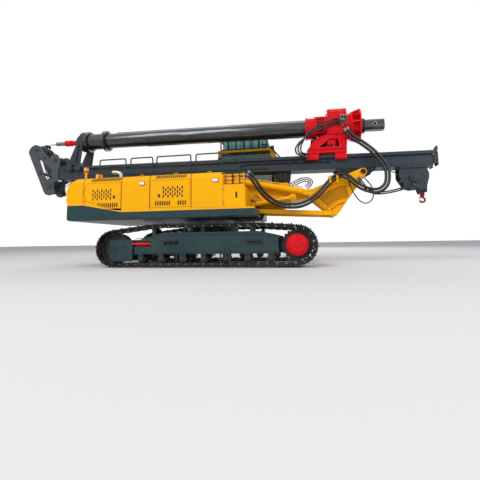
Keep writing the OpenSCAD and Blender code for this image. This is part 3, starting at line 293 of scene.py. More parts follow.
def track_iron(name):
    """Track shoes: dark paint, dried soil in the corners, bright steel where the ground rubs them."""
    p = Paint(name)
    soil = p.noise(7.0, 6, 0.65).steps(0.42, 0.66)
    grain = p.noise(60.0, 4, 0.7)
    low = 1 - p.part("Z").steps(0.0, 0.05)
    tone = p.mix(soil * 0.55, (0.012, 0.012, 0.013), (0.062, 0.052, 0.040))
    rubbed = p.mix(low * grain.steps(0.45, 0.6) * 0.7, tone, (0.16, 0.15, 0.14))
    return p.finish(rubbed, 0.46 + soil * 0.35, p.bump(grain + soil * 2.0, 0.0025, 0.6), 0.25)


def kelly_steel(name):
    """Rolled tube steel, oiled and dark, with rubbed stripes round it and along it."""
    p = Paint(name)
    along = p.noise(4.0, 5, 0.65, at=p.stretched(0.35, 6.0, 6.0))
    round_it = p.noise(5.0, 4, 0.6, at=p.stretched(5.0, 0.4, 0.4))
    scale = p.noise(34.0, 5, 0.7)
    rust = p.noise(1.6, 6, 0.65).steps(0.56, 0.72) * scale.steps(0.45, 0.6)
    tone = p.mix(along.steps(0.4, 0.7) * 0.7, (0.040, 0.042, 0.046), (0.090, 0.093, 0.100))
    tone = p.mix(round_it.steps(0.62, 0.72) * 0.5, tone, (0.15, 0.152, 0.160))
    tone = p.mix(rust * 0.45, tone, (0.045, 0.022, 0.012))
    return p.finish(tone, along * 0.12 + rust * 0.3 + 0.15, p.bump(scale + along, 0.0008, 0.25), 0.75,
                    Coat_Weight=0.6, Coat_Roughness=0.08)


def wire_rope(name):
    """Stranded wire: bright crowns and greased valleys along the lay."""
    p = Paint(name)
    wave = p.node("ShaderNodeTexWave", {"bands_direction": "DIAGONAL"}, {
        "Vector": p.place, "Scale": 34.0, "Distortion": 1.5}, "Fac")
    return p.finish(p.mix(wave, (0.035, 0.032, 0.03), (0.20, 0.19, 0.18)), 0.55 - wave * 0.15,
                    p.bump(wave, 0.003, 0.8), 0.7)


def glass(name, colour, alpha):
    """Tinted safety glass with a little film of dust."""
    p = Paint(name)
    film = p.noise(3.0, 5, 0.6).steps(0.5, 0.8)
    return p.finish(p.mix(film * 0.25, colour, (0.35, 0.38, 0.36)), film * 0.15 + 0.04, None, 0.0,
                    Alpha=film * 0.12 + alpha, Specular_IOR_Level=0.8)


def lens(name, colour, glow):
    """Ribbed lamp plastic."""
    p = Paint(name)
    ribs = p.node("ShaderNodeTexWave", {"bands_direction": "Z"}, {"Vector": p.place, "Scale": 60.0}, "Fac")
    return p.finish(p.mix(ribs * 0.3, colour, tuple(min(1, c * 1.2 + 0.04) for c in colour)),
                    0.14 + ribs * 0.06, p.bump(ribs, 0.001, 0.4), 0.0, Emission_Color=(*colour, 1),
                    Emission_Strength=glow)


def moulded(name, colour, rough=0.6):
    """Grained plastic or vinyl of seat, consoles and grips."""
    p = Paint(name)
    grain = p.cells(160.0)
    use = p.noise(6.0, 4).steps(0.5, 0.7)
    return p.finish(p.mix(use * 0.3, colour, tuple(c * 1.5 + 0.01 for c in colour)), rough - use * 0.15,
                    p.bump(grain, 0.0008, 0.5))


YELLOW = (1.0, 0.46, 0.0)
TEAL = (0.020, 0.052, 0.060)

# The slanting line between the two colours of the deck: its ends' x, its height at the rear and its fall
LINE_REAR = -2.604
LINE_FRONT = -1.700
LINE_HEIGHT = 1.345
LINE_FALL = 0.173
SIDE_FACES = 1.2
REAR_FACE = -2.985

yellow = painted("yellow_enamel", YELLOW, 0.30, 0.07, wear=0.25, shine=0.12)
# Darker yellow: painted shade for the triangle frame's recess.
recess_painted_shade = painted("yellow_painted_shade", (0.50, 0.20, 0.0), 0.40, 0.10, wear=0.25, shine=0.12)
teal = painted("teal_enamel", TEAL, 0.34, 0.12, (0.10, 0.10, 0.09), wear=0.3)
red = painted("red_enamel", (0.76, 0.001, 0.010), 0.26, 0.04, (0.12, 0.10, 0.10), wear=0.3)
hook_red = painted("hook_enamel", (0.26, 0.004, 0.007), 0.35, 0.10, wear=0.5)


def over_the_line(p):
    """The yellow field over the slanting line that crosses the deck and the counterweight."""
    along = p.node("ShaderNodeMapRange", {}, {
        "Value": p.part("X"), "From Min": LINE_REAR, "From Max": LINE_FRONT}, "Result")
    y = p.part("Y")
    outside = ((y * y).above(SIDE_FACES ** 2) + p.part("X").below(REAR_FACE)).above(0.5)
    return p.part("Z").above(along * -LINE_FALL + LINE_HEIGHT) * outside


deck_paint = painted("deck_two_tone", TEAL, 0.34, 0.12, (0.10, 0.10, 0.09), wear=0.3,
                     over=(over_the_line, YELLOW))
mast_grey = painted("mast_enamel", (0.034, 0.044, 0.057), 0.36, 0.10, (0.16, 0.15, 0.14), wear=0.45)
head_grey = painted("head_enamel", (0.072, 0.080, 0.090), 0.38, 0.08, (0.05, 0.04, 0.035), wear=0.5)
black = painted("black_enamel", (0.014, 0.016, 0.018), 0.40, 0.25, (0.10, 0.09, 0.08), wear=0.4)
rail_green = painted("rail_enamel", (0.012, 0.042, 0.036), 0.34, 0.15, wear=0.4)
shoes = track_iron("track_iron")
tube_steel = kelly_steel("kelly_steel")
machined = bare_metal("machined_steel", (0.30, 0.31, 0.32), 0.32)
zinc = bare_metal("zinc_plated", (0.34, 0.34, 0.32), 0.38, (18.0, 18.0, 18.0), soiled=0.3)
fixing = bare_metal("fixing_steel", (0.085, 0.085, 0.085), 0.45, (18.0, 18.0, 18.0), soiled=0.4, metallic=0.6)
chrome = bare_metal("chrome_rod", (0.78, 0.79, 0.81), 0.10, soiled=0.05)
silver = bare_metal("exhaust_metal", (0.48, 0.49, 0.50), 0.34, (12.0, 12.0, 12.0), (0.09, 0.06, 0.04), 0.35)
cast = bare_metal("cast_iron", (0.05, 0.052, 0.055), 0.55, (20.0, 20.0, 20.0), soiled=0.5, metallic=0.5)
rope_wire = wire_rope("rope_wire")
hose_black = rubber("hose_rubber", (0.010, 0.010, 0.011), 0.36)
seal_black = rubber("seal_rubber", (0.013, 0.013, 0.014), 0.6)
vinyl = moulded("seat_vinyl", (0.018, 0.019, 0.021))
grip = moulded("grip_plastic", (0.012, 0.012, 0.013), 0.45)
pane = glass("window_glass", (0.055, 0.20, 0.19), 0.42)
guard_pane = glass("guard_glass", (0.20, 0.52, 0.50), 0.70)
lamp_glass = lens("lamp_white", (0.86, 0.87, 0.84), 0.0)
lens_red = lens("lamp_red", (0.55, 0.01, 0.008), 0.05)
screen_glow = lens("screen_glass", (0.02, 0.05, 0.06), 0.15)
amber = lens("beacon_amber", (0.85, 0.24, 0.01), 0.10)
# Near-black painted shadow, put where holes, slots, seams and louvres would show only shade.
painted_shadow = rubber("slot_shadow", (0.004, 0.004, 0.004), 0.8)


# Making solids

def hand(side):
    """The name of a side: the cab stands on the left, at positive y."""
    return "left" if side > 0 else "right"


def unit_of(v):
    """A direction of length 1."""
    return Vector(v).normalized()


def on_mast(name, node):
    """A form in the mast's own directions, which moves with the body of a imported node."""
    return Form(name, body_of_node[node], MAST)


def square_to(axis):
    """Two directions square to an axis."""
    axis = unit_of(axis)
    other = Vector((0, 0, 1)) if abs(axis.z) < 0.9 else Vector((1, 0, 0))
    u = axis.cross(other).normalized()
    return u, axis.cross(u)


class Form:
    """Gathers the solids of one piece; each keeps its own finish."""

    def __init__(self, name, body, place=None):
        self.name = name
        self.body = body
        self.place = place
        self.points = []
        self.faces = []
        self.finishes = []

    def _add(self, points, faces, finish):
        """Takes a solid's points, moved to the piece's place, and its faces."""
        if finish not in self.finishes:
            self.finishes.append(finish)
        start = len(self.points)
        self.points += [self.place @ Vector(p) if self.place else Vector(p) for p in points]
        self.faces += [([start + i for i in f], self.finishes.index(finish)) for f in faces]
        return self

    def block(self, lo, hi, finish):
        """A box between its lowest and its highest corner."""
        (a, b, c), (d, e, f) = lo, hi
        corners = [(a, b, c), (d, b, c), (d, e, c), (a, e, c), (a, b, f), (d, b, f), (d, e, f), (a, e, f)]
        return self._add(corners, [(0, 3, 2, 1), (4, 5, 6, 7), (0, 1, 5, 4), (1, 2, 6, 5), (2, 3, 7, 6),
                                   (3, 0, 4, 7)], finish)

    def prism(self, outline, lift, finish):
        """A solid from a flat outline of points, pushed along a vector."""
        n = len(outline)
        base = [Vector(p) for p in outline]
        top = [p + Vector(lift) for p in base]
        walls = [(i, (i + 1) % n, n + (i + 1) % n, n + i) for i in range(n)]
        return self._add(base + top, [tuple(reversed(range(n))), tuple(range(n, 2 * n))] + walls, finish)

    def plate(self, outline, y0, y1, finish):
        """A side-view outline of x, z points between two y values."""
        return self.prism([(x, y0, z) for x, z in outline], (0, y1 - y0, 0), finish)

    def rod(self, a, b, r, finish, sides=20):
        """A straight round bar."""
        a, b = Vector(a), Vector(b)
        return self.turned([(0, r), ((b - a).length, r)], a, b - a, finish, sides)

    def turned(self, profile, at, axis, finish, sides=28, open_ends=False):
        """A solid of revolution: distance along the axis and radius, pair by pair."""
        axis = unit_of(axis)
        u, v = square_to(axis)
        points = []
        for d, r in profile:
            for k in range(sides):
                a = 2 * math.pi * k / sides
                points.append(Vector(at) + axis * d + (u * math.cos(a) + v * math.sin(a)) * r)
        faces = []
        for i in range(len(profile) - 1):
            for k in range(sides):
                j = (k + 1) % sides
                faces.append((i * sides + k, i * sides + j, (i + 1) * sides + j, (i + 1) * sides + k))
        last = (len(profile) - 1) * sides
        if open_ends:
            faces += [(last + k, last + (k + 1) % sides, (k + 1) % sides, k) for k in range(sides)]
        else:
            faces += [tuple(reversed(range(sides))), tuple(range(last, last + sides))]
        return self._add(points, faces, finish)

    def tube(self, path, r, finish, sides=10, smooth=6):
        """A round hose, pipe or rope along a smooth line through the points."""
        return self._sweep(smooth_line(path, smooth) if smooth else [Vector(p) for p in path],
                           r, finish, sides)

    def _sweep(self, line, r, finish, sides):
        """A round section carried along a line without twisting."""
        points = []
        u = None
        for i, p in enumerate(line):
            t = unit_of(line[min(i + 1, len(line) - 1)] - line[max(i - 1, 0)])
            u = square_to(t)[0] if u is None else (u - t * u.dot(t)).normalized()
            v = t.cross(u)
            points += [p + (u * math.cos(2 * math.pi * k / sides) + v * math.sin(2 * math.pi * k / sides)) * r
                       for k in range(sides)]
        faces = [tuple(reversed(range(sides))), tuple(range((len(line) - 1) * sides, len(line) * sides))]
        for i in range(len(line) - 1):
            for k in range(sides):
                j = (k + 1) % sides
                faces.append((i * sides + k, i * sides + j, (i + 1) * sides + j, (i + 1) * sides + k))
        return self._add(points, faces, finish)

    def bolt(self, at, axis, r=0.012, finish=None, washer=True):
        """A hexagon head on its washer."""
        at, axis = Vector(at), unit_of(axis)
        finish = finish or fixing
        if washer:
            self.turned([(-0.001, r * 1.5), (r * 0.22, r * 1.5), (r * 0.3, r * 1.3)], at, axis, finish, 14)
        self.turned([(r * 0.3, r), (r * 0.95, r), (r * 1.1, r * 0.82)], at, axis, finish, 6)
        return self

    def bolt_ring(self, at, axis, ring, count, r, finish=None):
        """Bolts on a circle round an axis."""
        u, v = square_to(axis)
        for k in range(count):
            a = 2 * math.pi * k / count
            self.bolt(Vector(at) + (u * math.cos(a) + v * math.sin(a)) * ring, axis, r, finish)
        return self

    def made(self, bevel=0.0, segments=2, slot=None, replaces=()):
        """The finished piece."""
        mesh = bpy.data.meshes.new(self.name)
        mesh.from_pydata([tuple(p) for p in self.points], [], [f for f, _ in self.faces])
        for finish in self.finishes:
            mesh.materials.append(finish)
        mesh.polygons.foreach_set("material_index", [k for _, k in self.faces])
        return finished(self.name, mesh, self.body, bevel, segments, replaces)


def finished(name, mesh, body, bevel=0.0, segments=2, replaces=(), angle=32):
    """Rounds the sharp edges, shades the curves and hands the piece to its body."""
    work = bmesh.new()
    work.from_mesh(mesh)
    bmesh.ops.recalc_face_normals(work, faces=work.faces)
    if bevel:
        sharp = [e for e in work.edges
                 if len(e.link_faces) == 2 and e.calc_face_angle(0) > math.radians(angle)]
        bmesh.ops.bevel(work, geom=sharp, offset=bevel, offset_type="OFFSET", segments=segments, profile=0.6,
                        affect="EDGES", clamp_overlap=True)
    work.to_mesh(mesh)
    work.free()
    mesh.polygons.foreach_set("use_smooth", [True] * len(mesh.polygons))
    mesh.set_sharp_from_angle(angle=math.radians(40))
    piece = bpy.data.objects.new(name, mesh)
    bpy.context.scene.collection.objects.link(piece)
    if bevel:
        even = piece.modifiers.new("even_shading", "WEIGHTED_NORMAL")
        even.keep_sharp = True
    if isinstance(body, str):
        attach(piece, body)
    if replaces:
        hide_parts(*replaces)
    return piece


def smooth_line(path, n):
    """Points on a smooth curve through the given ones."""
    p = [Vector(q) for q in path]
    line = []
    for i in range(len(p) - 1):
        a, b, c, d = p[max(i - 1, 0)], p[i], p[i + 1], p[min(i + 2, len(p) - 1)]
        for k in range(n):
            t = k / n
            line.append(0.5 * (2 * b + (c - a) * t + (2 * a - 5 * b + 4 * c - d) * t * t
                               + (3 * b - a - 3 * c + d) * t ** 3))
    return line + [p[-1]]


body_of_node = {n: b for b, nodes in frame["record"]["behaviour"]["bodies"].items() for n in nodes}
slot_of_node = {s["node"]: s["material_slot"] for s in frame["record"]["subparts"]}


def cut_out(mesh, cutter):
    """Cuts the solids of a form out of a mesh."""
    tool = bpy.data.meshes.new("cutter")
    tool.from_pydata([tuple(p) for p in cutter.points], [], [f for f, _ in cutter.faces])
    work = bmesh.new()
    work.from_mesh(tool)
    bmesh.ops.recalc_face_normals(work, faces=work.faces)
    work.to_mesh(tool)
    work.free()
    pair = [bpy.data.objects.new("cut_" + k, data) for k, data in (("body", mesh), ("tool", tool))]
    for o in pair:
        bpy.context.scene.collection.objects.link(o)
    cut = pair[0].modifiers.new("cut", "BOOLEAN")
    cut.operation = "DIFFERENCE"
    cut.object = pair[1]
    bpy.context.view_layer.update()
    result = bpy.data.meshes.new_from_object(pair[0].evaluated_get(bpy.context.evaluated_depsgraph_get()))
    for o in pair:
        bpy.data.objects.remove(o)
    return result


def dressed(node, finish, bevel=0.004, segments=2, cutter=None, sheet=None):
    """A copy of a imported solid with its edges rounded, which is shown in its place."""
    mesh = frame["nodes"][node].data.copy()
    work = bmesh.new()
    work.from_mesh(mesh)
    bmesh.ops.remove_doubles(work, verts=work.verts, dist=1e-5)
    bmesh.ops.dissolve_limit(work, angle_limit=math.radians(0.6), verts=work.verts, edges=work.edges)
    work.to_mesh(mesh)
    work.free()
    mesh.materials.clear()
    mesh.materials.append(finish)
    mesh.polygons.foreach_set("material_index", [0] * len(mesh.polygons))
    if sheet:
        second, y0, y1 = sheet
        mesh.materials.append(second)
        for face in mesh.polygons:
            face.material_index = int(all(y0 < mesh.vertices[v].co.y < y1 for v in face.vertices))
    if cutter:
        mesh = cut_out(mesh, cutter)
    return finished(node + "_looks", mesh, body_of_node[node], bevel, segments,
                    (node,), 30)


def repainted(node, finish):
    """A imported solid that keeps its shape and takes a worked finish."""
    data = frame["nodes"][node].data
    data.materials.clear()
    data.materials.append(finish)


# Undercarriage

SHOES = 54
GROUSER = 0.026
IDLER_REACH = 0.374
SPROCKET_REACH = 0.391
CHAIN_LEAVES = 1.568
CARRIER_TOP = 0.8809
CARRIERS = (2.960, 1.940, 0.870)
ROLLERS = 7
FIRST_ROLLER = -1.271
LAST_ROLLER = 1.468
ROLLER_Z = 0.1663


# Sections of a shoe and a link: the share of the pitch, and the height over the plate
SHOE = [(0, -0.013), (0.02, 0.001), (0.30, 0.001), (0.335, GROUSER - 0.001), (0.43, GROUSER - 0.001),
        (0.47, 0.001), (0.60, 0.001), (0.63, 0.014), (0.70, 0.014), (0.73, 0.001), (0.86, 0.001),
        (0.88, 0.013), (0.95, 0.013), (0.98, -0.002), (1.0, -0.012), (0.5, -0.014)]
CHAIN_LINK = [(0.06, -0.014), (0.02, -0.034), (0.10, -0.056), (0.30, -0.0595), (0.75, -0.0595),
              (0.98, -0.052), (1.04, -0.034), (0.96, -0.014)]
SHOE_HALF = 0.299


def arc_points(at, r, a0, a1, n):
    """Points on an arc of the side view, between two angles in degrees."""
    return [Vector((at.x + r * math.cos(math.radians(a0 + (a1 - a0) * i / n)),
                    at.y + r * math.sin(math.radians(a0 + (a1 - a0) * i / n)))) for i in range(n + 1)]


def track_line():
    """The line of the shoe plates in the side view, the same as in the part's source."""
    line = [Vector((CHAIN_LEAVES, GROUSER))] + arc_points(SPROCKET, SPROCKET_REACH, -88, 90, 30)
    line += [Vector((IDLER.x + d, CARRIER_TOP)) for d in CARRIERS]
    return line + arc_points(IDLER, IDLER_REACH, 92, 270, 30)


class Loop:
    """Places along a closed side-view line."""

    def __init__(self, line):
        self.line = line
        self.steps = [(line[(i + 1) % len(line)] - p).length for i, p in enumerate(line)]
        self.total = sum(self.steps)

    def at(self, s):
        """The point at a distance along the loop."""
        s %= self.total
        for i, step in enumerate(self.steps):
            if s <= step:
                return self.line[i].lerp(self.line[(i + 1) % len(self.line)], s / step)
            s -= step
        return self.line[0]


def track_chain(side):
    """Fifty-four bolted shoes with three grousers each, on two rows of links."""
    loop = Loop(track_line())
    pitch = loop.total / SHOES
    name = "track_" + hand(side)
    form = Form(name + "_looks", "undercarriage")
    mid = side * TRACK_Y
    for k in range(SHOES):
        a, b = loop.at(k * pitch), loop.at((k + 0.97) * pitch)
        along = (b - a).normalized()
        out = Vector((along.y, -along.x))
        long = (b - a).length

        def spot(u, v):
            """A point on the shoe: its share of the pitch, and the height over the plate."""
            q = a + along * (u * long) + out * v
            return (q.x, q.y)

        shift = rng.uniform(-0.0012, 0.0012)
        form.plate([spot(u, v) for u, v in SHOE], mid - SHOE_HALF + shift, mid + SHOE_HALF + shift, shoes)
        for y in (-0.105, 0.075):
            form.plate([spot(u, v) for u, v in CHAIN_LINK], mid + y, mid + y + 0.03, cast)
            for u in (0.16, 0.52):
                q = spot(u, 0.001)
                form.bolt((q[0], mid + y + 0.015, q[1]), (out.x, 0, out.y), 0.011, cast, washer=False)
        q = spot(0.06, -0.036)
        form.rod((q[0], mid - 0.115, q[1]), (q[0], mid + 0.115, q[1]), 0.017, machined, 10)
    return form.made(0.0, slot="track_steel", replaces=(name,))


def frame_details(side):
    """Bolted brackets, guards, steps and covers on a track frame's outer face."""
    face = side * (TRACK_Y + 0.2)
    f = Form("track_frame_fittings_" + hand(side), "undercarriage")
    out = (0, side, 0)

    def lie(y0, y1):
        """Two y values in order, from distances out of the frame's face."""
        return sorted((face + side * y0, face + side * y1))

    for i in range(ROLLERS):
        x = FIRST_ROLLER + i * (LAST_ROLLER - FIRST_ROLLER) / (ROLLERS - 1)
        f.plate([(x - 0.075, 0.262), (x - 0.06, 0.305), (x + 0.06, 0.305), (x + 0.075, 0.262)],
                *lie(-0.02, 0.012), teal)
        for dx in (-0.04, 0.04):
            f.bolt((x + dx, face + side * 0.012, 0.284), out, 0.011)
        f.turned([(0, 0.038), (0.006, 0.038), (0.010, 0.030)],
                 (x, face - side * 0.022, ROLLER_Z), out, cast, 18)
        f.bolt((x, face - side * 0.014, ROLLER_Z), out, 0.010, cast)
    for x in (-0.369, 0.556):
        f.plate([(x - 0.11, 0.112), (x - 0.085, 0.112), (x - 0.075, 0.29), (x - 0.06, 0.315),
                 (x + 0.06, 0.315), (x + 0.075, 0.29), (x + 0.085, 0.112), (x + 0.11, 0.112),
                 (x + 0.105, 0.30), (x + 0.075, 0.36), (x - 0.075, 0.36), (x - 0.105, 0.30)],
                *lie(-0.002, 0.03), teal)
        for dx in (-0.045, 0.045):
            f.bolt((x + dx, face + side * 0.03, 0.337), out, 0.010)
    f.plate([(0.69, 0.415), (0.90, 0.415), (0.905, 0.42), (0.905, 0.60), (0.89, 0.615), (0.70, 0.615),
             (0.685, 0.60), (0.685, 0.42)], *lie(-0.002, 0.010), teal)
    for x in (0.71, 0.88):
        for z in (0.44, 0.59):
            f.bolt((x, face + side * 0.010, z), out, 0.008)
    for x in (-0.60, 1.15):
        f.plate([(x - 0.16, 0.52), (x + 0.16, 0.52), (x + 0.16, 0.545), (x - 0.16, 0.545)],
                *lie(-0.002, 0.085), black)
        for dx in (-0.12, 0.0, 0.12):
            f.plate([(x + dx - 0.012, 0.47), (x + dx + 0.012, 0.47), (x + dx + 0.012, 0.53),
                     (x + dx - 0.012, 0.53)], *lie(-0.002, 0.05), black)
    f.plate([(-1.385, 0.60), (-0.80, 0.668), (1.20, 0.668), (1.60, 0.60), (1.60, 0.588), (1.20, 0.656),
             (-0.80, 0.656), (-1.385, 0.588)], *lie(-0.002, 0.012), teal)
    f.plate([(-1.385, 0.296), (1.60, 0.296), (1.60, 0.312), (-1.385, 0.312)], *lie(-0.002, 0.020), teal)
    y = side * (TRACK_Y + 0.15)
    for x in (-0.990, 0.080, 1.100):
        f.bolt((x - 0.025, y, 0.735), out, 0.009)
        f.bolt((x + 0.025, y, 0.735), out, 0.009)
        f.turned([(0, 0.020), (0.012, 0.020), (0.016, 0.014)], (x, y, 0.772), out, cast, 16)
    f.made(0.0015, 1, slot="teal_paint")


def travel_drive_details(side):
    """Cover, bolt rings and drum of a track's drive."""
    out = (0, side, 0)
    g = Form("travel_drive_bolts_" + hand(side), "undercarriage")
    centre = (SPROCKET.x, side * (TRACK_Y + 0.240), SPROCKET.y)
    g.turned([(-0.002, 0.150), (0.010, 0.150), (0.018, 0.138)], centre, out, red, 48)
    g.turned([(0.017, 0.045), (0.030, 0.045), (0.036, 0.036)], centre, out, red, 32)
    g.bolt_ring((centre[0], centre[1] + side * 0.018, centre[2]), out, 0.095, 6, 0.010)
    g.bolt_ring((centre[0], side * (TRACK_Y + 0.215), centre[2]), out, 0.201, 24, 0.0085, red)
    g.bolt_ring((centre[0], side * (TRACK_Y + 0.060), centre[2]), out, 0.235, 16, 0.012, cast)
    g.turned([(-0.10, 0.252), (0.058, 0.252), (0.066, 0.244)],
             (centre[0], side * TRACK_Y, centre[2]), out, cast, 40)
    g.made(0.0015, 1, slot="red_paint")


def idler_details(side):
    """Hub and bolts of a track's idler and its yoke."""
    out = (0, side, 0)
    h = Form("idler_fittings_" + hand(side), "undercarriage")
    y = side * (TRACK_Y + 0.19)
    h.turned([(-0.004, 0.075), (0.010, 0.075), (0.018, 0.066), (0.018, 0.03), (0.010, 0.026)],
             (IDLER.x, y, IDLER.y), out, teal, 32)
    h.bolt_ring((IDLER.x, y + side * 0.014, IDLER.y), out, 0.052, 6, 0.009)
    for x, z in ((-1.93, 0.53), (-1.50, 0.53), (-1.50, 0.20), (-1.90, 0.20)):
        h.bolt((x, y, z), out, 0.013)
    # A dark disc of painted shadow standing for a hole in the yoke.
    h.turned([(-0.002, 0.022), (0.004, 0.022), (0.004, 0.012)], (-1.62, y, 0.44), out, painted_shadow, 20)
    h.made(0.0012, 1, slot="teal_paint")


def undercarriage_details():
    """Both tracks and their frames, and the bolts and outer race of the slewing ring."""
    for side in (-1, 1):
        track_chain(side)
        frame_details(side)
        travel_drive_details(side)
        idler_details(side)
    r = Form("slew_ring_bolts", "undercarriage")
    for k in range(36):
        a = 2 * math.pi * k / 36
        r.bolt((0.555 * math.cos(a), 0.555 * math.sin(a), 0.9995), (0, 0, 1), 0.006, machined, washer=False)
    r.turned([(0, 0.594), (0.012, 0.600), (0.050, 0.600), (0.062, 0.594)], (0, 0, 0.925),
             (0, 0, 1), machined, 72)
    r.made(slot="machined_steel")


# Upper body

SKIRT = [(-2.604, 1.415), (-2.100, 1.250), (-1.700, 1.205), (1.180, 1.205)]
SLOT_HALF = 0.0155
SHORT_SLOT_TOP = 1.368
ROOF_SLOTS = 15
ROOF_SLOT_LOW = 1.862
ROOF_SLOT_HIGH = 1.922
PANEL_TOP = 1.78
SHADE_SHEET_INNER = 1.2435
SHADE_SHEET_OUTER = 1.2465


def skirt_height(x):
    """The height of the body panels' lower edge."""
    for (x0, z0), (x1, z1) in zip(SKIRT, SKIRT[1:]):
        if x <= x1:
            return z0 + (z1 - z0) * (x - x0) / (x1 - x0)
    return SKIRT[-1][1]


def slot_outline(a, b, half):
    """A narrow slot with pointed round ends between two points of the side view."""
    a, b = Vector(a), Vector(b)
    along = (b - a).normalized() * half
    across = Vector((-along.y, along.x))
    return [a + across, b + across, b + along, b - across, a - across, a - along]


def field_slots(x0, x1):
    """The staggered field of louvres in the middle of a panel."""
    slots = []
    for i in range(9):
        x = x0 + (x1 - x0) * i / 8
        for z in ((1.452, 1.542, 1.632) if i % 2 == 0 else (1.497, 1.587)):
            slots.append(slot_outline((x, z), (x, z + 0.046), SLOT_HALF))
    return slots


def low_slots(x0, x1, gap=(9, 9)):
    """A row of short louvres over the panel's lower edge."""
    slots = []
    for i in range(int(round((x1 - x0) / 0.050)) + 1):
        x = x0 + 0.050 * i
        low = max(1.290, skirt_height(x) + 0.050)
        if low < 1.36 and not gap[0] < x < gap[1]:
            slots.append(slot_outline((x, low), (x, max(SHORT_SLOT_TOP, low + 0.03)), SLOT_HALF))
    return slots


def bevel_slots(x0, x1, lean):
    """Louvres in the sloping edge of the roof."""
    places = [x0 + (x1 - x0) * i / (ROOF_SLOTS - 1) for i in range(ROOF_SLOTS)]
    return [slot_outline((x, ROOF_SLOT_LOW), (x + lean, ROOF_SLOT_HIGH), 0.015) for x in places]


def hood():
    """The hood and its two doors with their louvres cut through, over dark sheets of painted shadow."""
    rear, front, shell = (Form(name + "_slots", None) for name in ("rear", "front", "shell"))
    for o in field_slots(-2.370, -1.954) + low_slots(-2.45, -1.78):
        rear.plate(o, -1.27, -1.21, yellow)
        shell.plate(o, 1.21, 1.27, yellow)
    for o in field_slots(-0.744, -0.332) + low_slots(-0.912, -0.27, (-0.570, -0.460)):
        front.plate(o, -1.27, -1.21, yellow)
        shell.plate(o, 1.21, 1.27, yellow)
    for o in bevel_slots(-2.42, -1.76, 0.035) + bevel_slots(-0.90, -0.26, 0.0):
        shell.plate(o, -1.28, -1.17, yellow)
        shell.plate(o, 1.17, 1.28, yellow)
    for z in (1.50, 1.55, 1.60, 1.65):
        for y0, y1 in ((-0.95, -0.1), (0.1, 0.95)):
            shell.block((-3.05, y0, z), (-2.98, y1, z + 0.022), yellow)
    # Dark sheets of painted shadow behind each door's louvres.
    for name, x0, x1 in (("rear", -2.50, -1.74), ("front", -0.96, -0.19)):
        shade_sheet = Form("door_lining_" + name, body_of_node["hood_door_" + name])
        low = 1.245 if name == "front" else 1.38
        shade_sheet.block((x0, -SHADE_SHEET_OUTER, low), (x1, -SHADE_SHEET_INNER, PANEL_TOP), painted_shadow)
        if name == "rear":
            shade_sheet.block((-2.26, -SHADE_SHEET_OUTER, 1.30), (x1, -SHADE_SHEET_INNER, 1.385), painted_shadow)
            shade_sheet.block((-2.02, -SHADE_SHEET_OUTER, 1.245), (x1, -SHADE_SHEET_INNER, 1.305), painted_shadow)
        shade_sheet.made()
    # Dark sheets of painted shadow behind the roof edge's louvres and the shell's side louvres.
    inside = Form("hood_shade_sheet", "upper")
    for side in (-1, 1):
        inside.prism([(-2.50, side * 1.2455, 1.847), (-2.50, side * 1.1905, 1.934),
                      (-2.50, side * 1.187, 1.932), (-2.50, side * 1.242, 1.845)], (2.32, 0, 0), painted_shadow)
    inside.block((-2.02, SHADE_SHEET_INNER, 1.25), (-0.19, SHADE_SHEET_OUTER, PANEL_TOP), painted_shadow)
    inside.block((-2.50, SHADE_SHEET_INNER, 1.40), (-2.02, SHADE_SHEET_OUTER, PANEL_TOP), painted_shadow)
    inside.made()
    dressed("hood_door_rear", yellow, 0.002, 1, rear)
    dressed("hood_door_front", yellow, 0.002, 1, front)
    dressed("engine_hood", yellow, 0.003, 1, shell)


